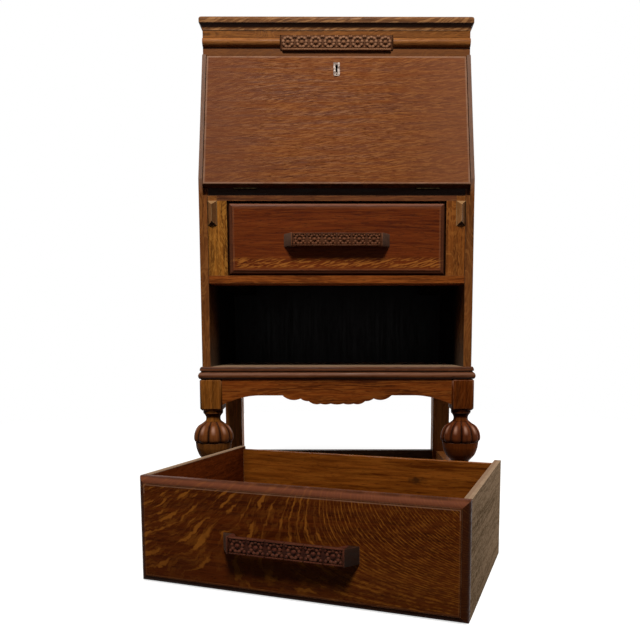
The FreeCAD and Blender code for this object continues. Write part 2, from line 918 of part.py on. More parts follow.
def drawers():
    pieces = {}
    upper = drawer_pieces(upper_drawer_width, upper_drawer_height, upper_drawer_depth)
    for name, shape in upper.items():
        shape.translate(FreeCAD.Vector(0, front_setback, upper_bay_z + drawer_lift))
        pieces["upper_drawer_" + name] = shape
    lower = drawer_pieces(lower_drawer_width, lower_drawer_height, lower_drawer_depth)
    for name, shape in lower.items():
        pieces["lower_drawer_" + name] = on_floor(shape)
    return pieces


def stand():
    pieces = {
        "apron": apron(),
        "stand_rail_back": stand_rail_back(),
        "stretcher_back": stretcher_back(),
    }
    pieces.update(pairs("leg_front", leg_front_left()))
    pieces.update(pairs("leg_back", leg_back_left()))
    pieces.update(pairs("stand_rail", stand_rail_left()))
    pieces.update(pairs("stretcher", stretcher_left()))
    return pieces


def main():
    os.makedirs("parts", exist_ok=True)
    middle = footprint_middle()
    for group in (carcass(), fall(), lopers(), drawers(), stand()):
        for name, shape in group.items():
            shape.translate(middle.negative())
            shape.exportStep(os.path.join("parts", name + ".step"))
            print(name, len(shape.Solids), round(shape.Volume), shape.isValid())


main()
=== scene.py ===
import bpy
import bmesh
import json
import math
from mathutils import Matrix, Vector


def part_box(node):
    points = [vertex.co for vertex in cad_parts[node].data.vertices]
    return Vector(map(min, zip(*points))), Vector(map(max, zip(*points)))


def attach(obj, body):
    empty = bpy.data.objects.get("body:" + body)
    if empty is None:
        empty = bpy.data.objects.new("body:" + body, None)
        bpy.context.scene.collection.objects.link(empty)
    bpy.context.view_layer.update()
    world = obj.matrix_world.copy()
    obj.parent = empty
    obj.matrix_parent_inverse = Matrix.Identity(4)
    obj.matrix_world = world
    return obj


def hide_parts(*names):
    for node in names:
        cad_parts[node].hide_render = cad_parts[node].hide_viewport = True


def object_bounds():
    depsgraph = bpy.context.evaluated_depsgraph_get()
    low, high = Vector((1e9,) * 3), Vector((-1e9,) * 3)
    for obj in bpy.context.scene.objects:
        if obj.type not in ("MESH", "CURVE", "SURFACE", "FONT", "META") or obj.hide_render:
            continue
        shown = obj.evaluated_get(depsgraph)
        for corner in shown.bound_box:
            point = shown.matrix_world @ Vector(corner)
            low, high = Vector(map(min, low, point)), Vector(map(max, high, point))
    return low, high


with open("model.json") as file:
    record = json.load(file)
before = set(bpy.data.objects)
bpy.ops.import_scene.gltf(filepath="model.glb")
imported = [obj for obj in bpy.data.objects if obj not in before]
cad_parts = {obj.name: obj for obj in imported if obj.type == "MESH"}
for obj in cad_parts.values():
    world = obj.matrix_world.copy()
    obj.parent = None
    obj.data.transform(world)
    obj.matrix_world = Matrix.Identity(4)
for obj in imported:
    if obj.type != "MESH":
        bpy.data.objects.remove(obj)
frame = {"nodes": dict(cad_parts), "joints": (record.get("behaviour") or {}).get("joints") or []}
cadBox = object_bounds()
nodes = frame["nodes"]
joints = {joint["name"]: joint for joint in frame["joints"]}
scene = bpy.context.scene
scene.view_settings.view_transform = "Standard"

# Where things stand, read from the frame
fallUp = Vector(joints["lock_throw"]["axis"])
fallTilt = math.atan2(fallUp.y, fallUp.z)
drawerOut = Vector(joints["lower_drawer_slide"]["axis"])
drawerTurn = math.atan2(drawerOut.x, -drawerOut.y)
fallTurn = Matrix.Rotation(-fallTilt, 4, "X")
floorTurn = Matrix.Rotation(drawerTurn, 4, "Z")


def turnedBox(node, turn):  # a node's lowest and highest corner in a turned frame
    inverse = turn.inverted()
    corners = [inverse @ vertex.co for vertex in nodes[node].data.vertices]
    return [Vector([pick(corner[axis] for corner in corners) for axis in range(3)]) for pick in (min, max)]


def middle(box):
    return (box[0] + box[1]) / 2


def halfSize(box):  # half the width and half the height
    return (box[1].x - box[0].x) / 2, (box[1].z - box[0].z) / 2


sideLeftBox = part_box("side_left")
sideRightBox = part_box("side_right")
deskMiddleX = (sideLeftBox[0].x + sideRightBox[1].x) / 2
deskFrontY = sideLeftBox[0].y
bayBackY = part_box("back_panel")[0].y
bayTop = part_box("writing_floor")[0].z
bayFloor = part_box("bottom_board")[1].z
insideHalf = (sideRightBox[0].x - sideLeftBox[1].x) / 2
print("stage: frame loaded,", len(nodes), "pieces")


# A wire is a node's output that can be added, multiplied and so on, each time by one more node
class Wire:
    def __init__(self, tree, socket):
        self.tree = tree
        self.socket = socket

    def __add__(self, other):
        return maths("ADD", self, other)

    def __sub__(self, other):
        return maths("SUBTRACT", self, other)

    def __rsub__(self, other):
        return maths("SUBTRACT", other, self)

    def __mul__(self, other):
        return maths("MULTIPLY", self, other)

    def __truediv__(self, other):
        return maths("DIVIDE", self, other)

    def __abs__(self):
        return maths("ABSOLUTE", self)


def addNode(tree, kind, **settings):
    node = tree.nodes.new(kind)
    for key, value in settings.items():
        setattr(node, key, value)
    return node


def feed(socket, value):
    if isinstance(value, Wire):
        value.tree.links.new(value.socket, socket)
    elif value is not None:
        socket.default_value = value


def source(tree, kind, output, **settings):  # a node that needs no input
    return Wire(tree, addNode(tree, kind, **settings).outputs[output])


def build(kind, inputs, output=0, **settings):  # a node fed with wires and numbers, in the tree of its wires
    tree = next(value.tree for value in inputs.values() if isinstance(value, Wire))
    node = addNode(tree, kind, **settings)
    for key, value in inputs.items():
        feed(node.inputs[key], value)
    return Wire(tree, node.outputs[output])


def maths(operation, first, second=None, clamp=False):
    return build("ShaderNodeMath", {0: first, 1: second}, operation=operation, use_clamp=clamp)


def vectorMaths(operation, first, second=None):
    output = "Value" if operation in ("DOT_PRODUCT", "LENGTH") else 0
    return build("ShaderNodeVectorMath", {0: first, 1: second}, output, operation=operation)


def spread(value, low, high, toLow=0.0, toHigh=1.0):  # smooth step between two values
    inputs = dict(enumerate((value, low, high, toLow, toHigh)))
    return build("ShaderNodeMapRange", inputs, interpolation_type="SMOOTHSTEP")


def fade(value, low, high):  # smooth step down to nothing
    return spread(value, low, high, 1.0, 0.0)


def between(value, low, high, soft):
    return spread(value, low - soft, low + soft) * fade(value, high - soft, high + soft)


def opaque(colour):
    return colour if isinstance(colour, Wire) else (*colour, 1.0)


def blendColour(share, first, second, kind="MIX"):
    inputs = {0: share, 6: opaque(first), 7: opaque(second)}
    return build("ShaderNodeMix", inputs, 2, data_type="RGBA", blend_type=kind)


def noise(vector, scale=1.0, detail=2.0, roughness=0.5, distortion=0.0):
    inputs = {"Vector": vector, "Scale": scale, "Detail": detail, "Roughness": roughness,
              "Distortion": distortion}
    return build("ShaderNodeTexNoise", inputs, "Fac")


def stretch(vector, amounts):
    return vectorMaths("MULTIPLY", vector, amounts)


def split(vector):
    node = addNode(vector.tree, "ShaderNodeSeparateXYZ")
    feed(node.inputs[0], vector)
    return [Wire(vector.tree, socket) for socket in node.outputs]


def combine(x, y, z):
    return build("ShaderNodeCombineXYZ", {0: x, 1: y, 2: z})


def shaderGroup(name, inputs, outputs):  # a node group, its inputs as wires and its output sockets
    tree = bpy.data.node_groups.new(name, "ShaderNodeTree")
    for label, default in inputs.items():
        kind = "Vector" if label == "Vector" else "Float" if isinstance(default, float) else "Color"
        socket = tree.interface.new_socket(name=label, in_out="INPUT", socket_type="NodeSocket" + kind)
        socket.default_value = opaque(default) if kind == "Color" else default
    for label in outputs:
        kind = "Color" if label == "Color" else "Float"
        tree.interface.new_socket(name=label, in_out="OUTPUT", socket_type="NodeSocket" + kind)
    sockets = addNode(tree, "NodeGroupInput").outputs
    given = {label: Wire(tree, sockets[label]) for label in inputs}
    return tree, given, addNode(tree, "NodeGroupOutput").inputs


def useGroup(tree, group, inputs):
    node = addNode(tree, "ShaderNodeGroup", node_tree=group)
    for label, value in inputs.items():
        feed(node.inputs[label], value)
    return {socket.name: Wire(tree, socket) for socket in node.outputs}


# Oak: x of the vector runs along the grain, y across the board's face, z through it
def makeOakGroup():
    tree, given, result = shaderGroup("oakGrain", {
        "Vector": (0, 0, 0), "Dark": (0.12, 0.04, 0.014), "Light": (0.26, 0.09, 0.034),
        "Fleck": (0.36, 0.15, 0.05), "Fleck Share": 0.5, "Fleck Length": 0.03, "Fleck Width": 0.003,
        "Fleck Slant": 0.2, "Cloud": 0.4,
    }, ("Color", "Roughness", "Height"))
    place = given["Vector"]
    along, over, through = split(place)
    cloud = noise(stretch(place, (2.2, 7.0, 7.0)), detail=3)
    bend = noise(stretch(place, (5.0, 9.0, 9.0)), detail=2)
    wavyOver = over + (bend - 0.5) * 0.012
    broadPlace = combine(along * 4.0, wavyOver * 95.0, through * 95.0)
    finePlace = combine(along * 13.0, wavyOver * 230.0, through * 230.0)
    broad = spread(noise(broadPlace, detail=2), 0.4, 0.6)
    fine = spread(noise(finePlace, detail=2), 0.41, 0.59)
    streak = broad * 0.55 + fine * 0.45
    lean = (cloud - 0.5) * 1.6 + given["Fleck Slant"]
    slanted = wavyOver - along * (lean * 0.25)
    fleckPlace = combine(along / given["Fleck Length"], slanted / given["Fleck Width"], through * 90.0)
    fleck = spread(noise(fleckPlace, scale=0.55, detail=2, roughness=0.6, distortion=0.5), 0.49, 0.59)
    pore = spread(noise(stretch(place, (70.0, 950.0, 950.0)), detail=1), 0.6, 0.72)
    colour = blendColour(streak, given["Dark"], given["Light"])
    colour = blendColour(spread(cloud, 0.35, 0.65) * given["Cloud"], colour, given["Light"])
    colour = blendColour(fleck * given["Fleck Share"], colour, given["Fleck"])
    feed(result["Color"], blendColour(pore * 0.6, colour, given["Dark"], "MULTIPLY"))
    feed(result["Roughness"], streak * 0.18 + 0.36 - fleck * 0.06 + pore * 0.2)
    feed(result["Height"], streak * 0.5 - pore * 0.8 + fleck * 0.2)
    return tree


def flatNormal(tree):
    return source(tree, "ShaderNodeNewGeometry", "True Normal")


# Rubbed arrises with a painted highlight, light where an edge turns, and grime with painted shade in the
# corners
def makeWearAndLightGroup():
    inputs = {"Vector": (0, 0, 0), "Width": 0.0015, "Reach": 0.008}
    tree, given, result = shaderGroup("edgeWearHighlightAndShade", inputs, ("Mask", "Dirt And Shade"))
    openness = build("ShaderNodeAmbientOcclusion", {"Distance": given["Reach"]}, "AO", samples=8)
    feed(result["Dirt And Shade"], fade(openness, 0.28, 0.8))
    rounded = build("ShaderNodeBevel", {"Radius": given["Width"]}, samples=6)
    turn = 1.0 - vectorMaths("DOT_PRODUCT", rounded, flatNormal(tree))
    patchy = spread(noise(given["Vector"], scale=38.0, detail=3), 0.3, 0.62, 0.25, 1.0)
    feed(result["Mask"], spread(turn, 0.02, 0.22) * patchy)
    return tree


def stripes(phase, half, soft):  # one stripe each time the phase grows by one
    return spread(half - abs(maths("FRACT", phase) - 0.5), -soft, soft)


# Rays cut lengthwise: golden stripes along the level lines of a saddle, millimetres on the board
def makeFigureGroup():
    tree, given, result = shaderGroup("rayFigure", {
        "Vector": (0, 0, 0), "Left": 117.0, "Lean": 0.655, "Under": 10.0, "Wide Step": 3400.0,
        "Fine Step": 1900.0, "Fine From": 8000.0, "Finest Step": 1000.0, "Finest From": 17000.0,
    }, ("Mask", "Glow"))
    along, over = split(given["Vector"])[:2]
    wander = noise(given["Vector"], scale=14.0, detail=2)
    ripple = noise(given["Vector"], scale=120.0, detail=2)
    height = over * 1000.0 + given["Under"]
    reach = along * 1000.0 - given["Left"] - height * given["Lean"]
    saddle = reach * height
    course = (reach * reach - height * height) * 0.5
    wide = maths("MINIMUM", saddle, given["Fine From"])
    finest = maths("MAXIMUM", saddle - given["Finest From"], 0.0)
    fine = saddle - wide - finest
    phase = fine / given["Fine Step"] + wide / given["Wide Step"] + finest / given["Finest Step"]
    fineShare = spread(saddle, 0.0, 15000.0)
    swing = spread(fineShare, 0.0, 1.0, 1.6, 0.7)
    phase = phase + (wander - 0.5) * swing + (ripple - 0.5) * 0.45
    run = course / given["Wide Step"]
    patch = noise(combine(phase * 0.7, run * 0.6, 3.0), detail=2, roughness=0.6)
    wideHalf = spread(patch, 0.4, 0.68) * 0.22
    fineHalf = spread(patch, 0.25, 0.7, 0.03, 0.14)
    width = build("ShaderNodeMix", {0: fineShare, 2: wideHalf, 3: fineHalf}, data_type="FLOAT")
    extra = stripes(phase * 2.0, 0.16, 0.12) * (spread(height, 60.0, 120.0, 0.6, 0.0) * fineShare)
    stripe = maths("MAXIMUM", stripes(phase, width, 0.06), extra)
    hairs = noise(combine(phase * 3.2, run * 1.1, 7.0), detail=2, roughness=0.6)
    fibre = spread(hairs, 0.46, 0.62, 0.0, 0.42)
    feed(result["Mask"], maths("MAXIMUM", stripe, fibre))
    feed(result["Glow"], spread(patch, 0.35, 0.65))
    return tree


oakGroup = makeOakGroup()
wearAndLightGroup = makeWearAndLightGroup()
figureGroup = makeFigureGroup()


def placeVector(tree, settings):  # object coordinates, set to the board's own axes
    place = source(tree, "ShaderNodeTexCoord", "Object")
    inputs = {"Vector": place, "Location": settings["origin"], "Rotation": settings["turn"]}
    return build("ShaderNodeMapping", inputs, vector_type="TEXTURE")


def grainVector(local, settings):
    x, y, z = split(local)
    order = {"x": (x, z, y), "y": (y, z, x), "z": (z, x, y)}[settings["along"]]
    return vectorMaths("ADD", combine(*order), settings["shift"])


def startMaterial(name, specular):
    material = bpy.data.materials.new(name)
    material.use_nodes = True
    shader = material.node_tree.nodes["Principled BSDF"]
    shader.inputs["Specular IOR Level"].default_value = specular
    return material, material.node_tree, shader


def finishSurface(shader, colour, roughness, height, depth=0.0004, strength=0.35):
    bump = build("ShaderNodeBump", {"Strength": strength, "Distance": depth, "Height": height})
    for label, wire in (("Normal", bump), ("Base Color", colour), ("Roughness", roughness)):
        feed(shader.inputs[label], wire)


# The unpolished inside of the open bay, with painted shade: dark above and behind; paler by its floor, dusted
# and painted light
bayShades = {"dustAndLight": (0.11, 0.08, 0.056), "dustAndLightShare": 0.85, "dustAndLightHeight": 0.12,
             "dusk": (0.012, 0.004, 0.002), "duskShare": 0.8, "duskFrom": 0.05, "duskTo": 0.15,
             "deep": (0.002, 0.001, 0.001), "deepFrom": 0.004, "deepTo": 0.14}


def bayShade(local, colour, shades):
    x, y, z = split(local)
    within = fade(abs(x - deskMiddleX), insideHalf + 0.0004, insideHalf + 0.0016)
    inside = within * fade(z, bayTop - 0.001, bayTop + 0.001)
    front = inside * spread(y, deskFrontY + 0.0005, deskFrontY + 0.002)
    dustyAndLit = front * spread(z, bayFloor, bayFloor + shades["dustAndLightHeight"], shades["dustAndLightShare"], 0.0)
    dusk = spread(z, bayFloor + shades["duskFrom"], bayFloor + shades["duskTo"], 0.0, shades["duskShare"])
    deep = spread(y, deskFrontY + shades["deepFrom"], deskFrontY + shades["deepTo"])
    deep = deep * fade(y, bayBackY + 0.0005, bayBackY + 0.0015)  # not on the outside of the back
    colour = blendColour(dustyAndLit, colour, shades["dustAndLight"])
    colour = blendColour(front * dusk, colour, shades["dusk"])
    return blendColour(inside * deep, colour, shades["deep"])


def fleckBand(grain, colour, settings):  # a strip of slanting flecks along the board's lower edge
    along, over, through = split(grain)
    low, high = settings["band"]
    within = spread(over, low - 0.004, low + 0.003) * fade(over, high - 0.004, high + 0.006)
    place = combine(along * 42.0, (over - along * 0.3) * 330.0, through)
    flecks = spread(noise(place, detail=2, distortion=0.6), 0.48, 0.58)
    return blendColour(within * flecks, colour, settings["bandColour"])


def edgeDistances(grain, half):  # how far a point lies from the board's ends and from its long edges
    along, over = split(grain)[:2]
    return half[0] - abs(along), half[1] - abs(over)


def mouldedBorder(grain, colour, settings):  # painted light along the top, painted shade on the ends and below
    ends, sides = edgeDistances(grain, settings["half"])
    width, soft = settings["borderWidth"], 0.0006
    share = fade(maths("MINIMUM", ends, sides), width - soft, width + soft)
    low = maths("LESS_THAN", split(grain)[1], 0.0)
    shaded = maths("MAXIMUM", maths("LESS_THAN", ends, sides), low)
    tint = blendColour(shaded, settings["border"], settings["borderDark"])
    return blendColour(share, colour, blendColour(settings["borderShare"], colour, tint))


def knotted(grain, colour, knot):  # one dark knot with a ragged rim
    along, over = split(grain)[:2]
    ragged = noise(grain, scale=90.0, detail=3) * 0.012
    offset = combine((along - knot["place"][0]) * 0.45, over - knot["place"][1], 0.0)
    reach = vectorMaths("LENGTH", offset) + ragged
    share = spread(reach, knot["size"] * 0.6, knot["size"] * 1.5, 0.85, 0.0)
    return blendColour(share, colour, knot["colour"])


def tintBand(axis, low, high, colour, share, **more):  # a band of colour between two places along one axis
    return {"axis": axis, "low": low, "high": high, "colour": colour, "share": share, **more}


def tinted(local, colour, band):  # only on the faces that look one way, if facing is given
    value = split(local)["xyz".index(band["axis"])]
    within = between(value, band["low"], band["high"], band.get("soft", 0.001))
    if "facing" in band:
        within = within * spread(vectorMaths("DOT_PRODUCT", flatNormal(local.tree), band["facing"]), 0.3, 0.6)
    return blendColour(within * band["share"], colour, band["colour"], band.get("kind", "MIX"))


def edge(start, end, colour, share, **more):  # a thin line along the board's outline, or its top: a painted highlight at an arris, painted shade in a quirk or gap
    return {"start": start, "end": end, "colour": colour, "share": share, **more}


def edgeLine(grain, colour, half, line):
    low, high = line["start"], line["end"]
    ends, sides = edgeDistances(grain, half)
    within = between(maths("MINIMUM", ends, sides), low, high, (high - low) / 2)
    patchy = spread(noise(grain, scale=30.0, detail=3), 0.3, 0.6, 0.45, 1.0)
    share = within * patchy * line["share"]
    if line.get("topOnly"):
        share = share * maths("GREATER_THAN", split(grain)[1], half[1] - 2 * high)
    return blendColour(share, colour, line["colour"])


oakDefaults = {
    "along": "x", "origin": (0, 0, 0), "turn": (0, 0, 0), "shift": (0, 0, 0), "specular": 0.05,
    "fleckShare": 0.5, "fleckLength": 0.03, "fleckWidth": 0.003, "fleckSlant": 0.2, "cloud": 0.4,
    # The worn colour lightens edges and carved crests: rubbing with a painted highlight. The dirt colour
    # darkens corners and creases: grime with painted shade. The hollows colour is painted shade in carved
    # hollows.
    "wornAndHighlight": None, "wornAndHighlightWidth": 0.0015, "wornAndHighlightShare": 0.5,
    "dirtAndShade": (0.014, 0.005, 0.002), "dirtAndShadeShare": 0.75, "dirtAndShadeReach": 0.008,
    "figure": None, "band": None, "border": None, "knot": None, "bay": False, "hollows": None,
    "tintBands": [], "lines": [],
}


def oakMaterial(name, settings):
    material, tree, shader = startMaterial(name, settings["specular"])
    local = placeVector(tree, settings)
    grain = grainVector(local, settings)
    wood = useGroup(tree, oakGroup, {
        "Vector": grain, "Dark": opaque(settings["dark"]), "Light": opaque(settings["light"]),
        "Fleck": opaque(settings["fleck"]), "Fleck Share": settings["fleckShare"], "Cloud": settings["cloud"],
        "Fleck Length": settings["fleckLength"], "Fleck Width": settings["fleckWidth"],
        "Fleck Slant": settings["fleckSlant"]})
    colour = wood["Color"]
    if settings["figure"]:
        figure = useGroup(tree, figureGroup, {"Vector": vectorMaths("ADD", grain, (*settings["half"], 0))})
        gold = blendColour(figure["Glow"], settings["figureDim"], settings["figure"])
        colour = blendColour(figure["Mask"], colour, gold)
    if settings["band"]:
        colour = fleckBand(grain, colour, settings)
    if settings["border"]:
        colour = mouldedBorder(grain, colour, settings)
    if settings["knot"]:
        colour = knotted(grain, colour, settings["knot"])
    if settings["bay"]:
        colour = bayShade(local, colour, bayShades)
    for band in settings["tintBands"]:
        colour = tinted(local, colour, band)
    if settings["hollows"]:  # carved pieces carry painted shade in their hollows, and below zero a painted highlight on their crests
        hollow = source(tree, "ShaderNodeAttribute", "Fac", attribute_name="hollow")
        colour = blendColour(maths("MULTIPLY", hollow, -1.0, clamp=True), colour, settings["wornAndHighlight"])
        colour = blendColour(maths("MAXIMUM", hollow, 0.0), colour, settings["hollows"])
    for line in settings["lines"]:
        colour = edgeLine(grain, colour, settings["half"], line)
    if settings["wornAndHighlight"]:
        inputs = {"Vector": local, "Width": settings["wornAndHighlightWidth"], "Reach": settings["dirtAndShadeReach"]}
        wearAndLight = useGroup(tree, wearAndLightGroup, inputs)
        colour = blendColour(wearAndLight["Mask"] * settings["wornAndHighlightShare"], colour, settings["wornAndHighlight"])
        colour = blendColour(wearAndLight["Dirt And Shade"] * settings["dirtAndShadeShare"], colour, settings["dirtAndShade"])
    finishSurface(shader, colour, wood["Roughness"], wood["Height"])
    return material


# Places that the finishes refer to
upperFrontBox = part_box("upper_drawer_front")
upperMiddle = tuple(middle(upperFrontBox))
upperHalf = halfSize(upperFrontBox)
lowerFrontBox = turnedBox("lower_drawer_front", floorTurn)
lowerMiddle = tuple(floorTurn @ middle(lowerFrontBox))
lowerHalf = halfSize(lowerFrontBox)
lowerFoot = floorTurn @ Vector((middle(lowerFrontBox).x, lowerFrontBox[0].y, lowerFrontBox[0].z))
floorOrigin = tuple(lowerFoot)
floorAngles = (0, 0, drawerTurn)
fallBox = turnedBox("fall_panel", fallTurn)
fallMiddle = tuple(fallTurn @ middle(fallBox))
fallHalf = halfSize(fallBox)
fallAngles = (-fallTilt, 0, 0)
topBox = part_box("top_board")
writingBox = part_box("writing_floor")
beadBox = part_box("frieze_bead_left")
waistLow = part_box("waist_front")[0].z
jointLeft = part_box("stile_left")[0].x
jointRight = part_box("stile_right")[1].x
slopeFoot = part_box("fall_panel")[0].z
sideBox = turnedBox("lower_drawer_side_right", floorTurn)
sideInner = middle(sideBox).x - middle(lowerFrontBox).x
sideTop = sideBox[1].z - middle(lowerFrontBox).z
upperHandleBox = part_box("upper_drawer_handle")
lowerHandleBox = turnedBox("lower_drawer_handle", floorTurn)
upperHandleMiddle = tuple(middle(upperHandleBox))
lowerHandleMiddle = tuple(floorTurn @ middle(lowerHandleBox))
handleHalf = halfSize(upperHandleBox)[0]
lobesLow = cadBox[0].z + 0.1832  # heights of the carved lobes on the front legs
lobesHigh = cadBox[0].z + 0.2287


def pair(*names):  # the left and the right piece of each name
    return [name + side for name in names for side in ("_left", "_right")]


# Finishes of the oak, one dictionary each, with the pieces that wear it
# Waist moulding: painted shade under the torus, in the quirk and along the top, and a painted highlight on
# the torus crest
waistLightAndShade = [
    tintBand("z", waistLow - 0.001, waistLow + 0.0035, (0.015, 0.004, 0.001), 0.85),
    tintBand("z", waistLow + 0.008, waistLow + 0.0125, (0.2, 0.09, 0.052), 0.6),
    tintBand("z", waistLow + 0.0145, waistLow + 0.0185, (0.02, 0.005, 0.001), 0.8),
    tintBand("z", waistLow + 0.0225, waistLow + 0.0252, (0.025, 0.007, 0.002), 0.8),
]
waistFinish = dict(
    dark=(0.065, 0.018, 0.005), light=(0.13, 0.04, 0.013), fleck=(0.2, 0.07, 0.026), fleckShare=0.3,
    wornAndHighlight=(0.24, 0.12, 0.065), specular=0.08, dirtAndShadeShare=0.95, tintBands=waistLightAndShade)
insideFinish = dict(
    dark=(0.14, 0.045, 0.008), light=(0.24, 0.083, 0.018), fleck=(0.32, 0.13, 0.03), fleckShare=0.3,
    wornAndHighlight=(0.34, 0.18, 0.09))
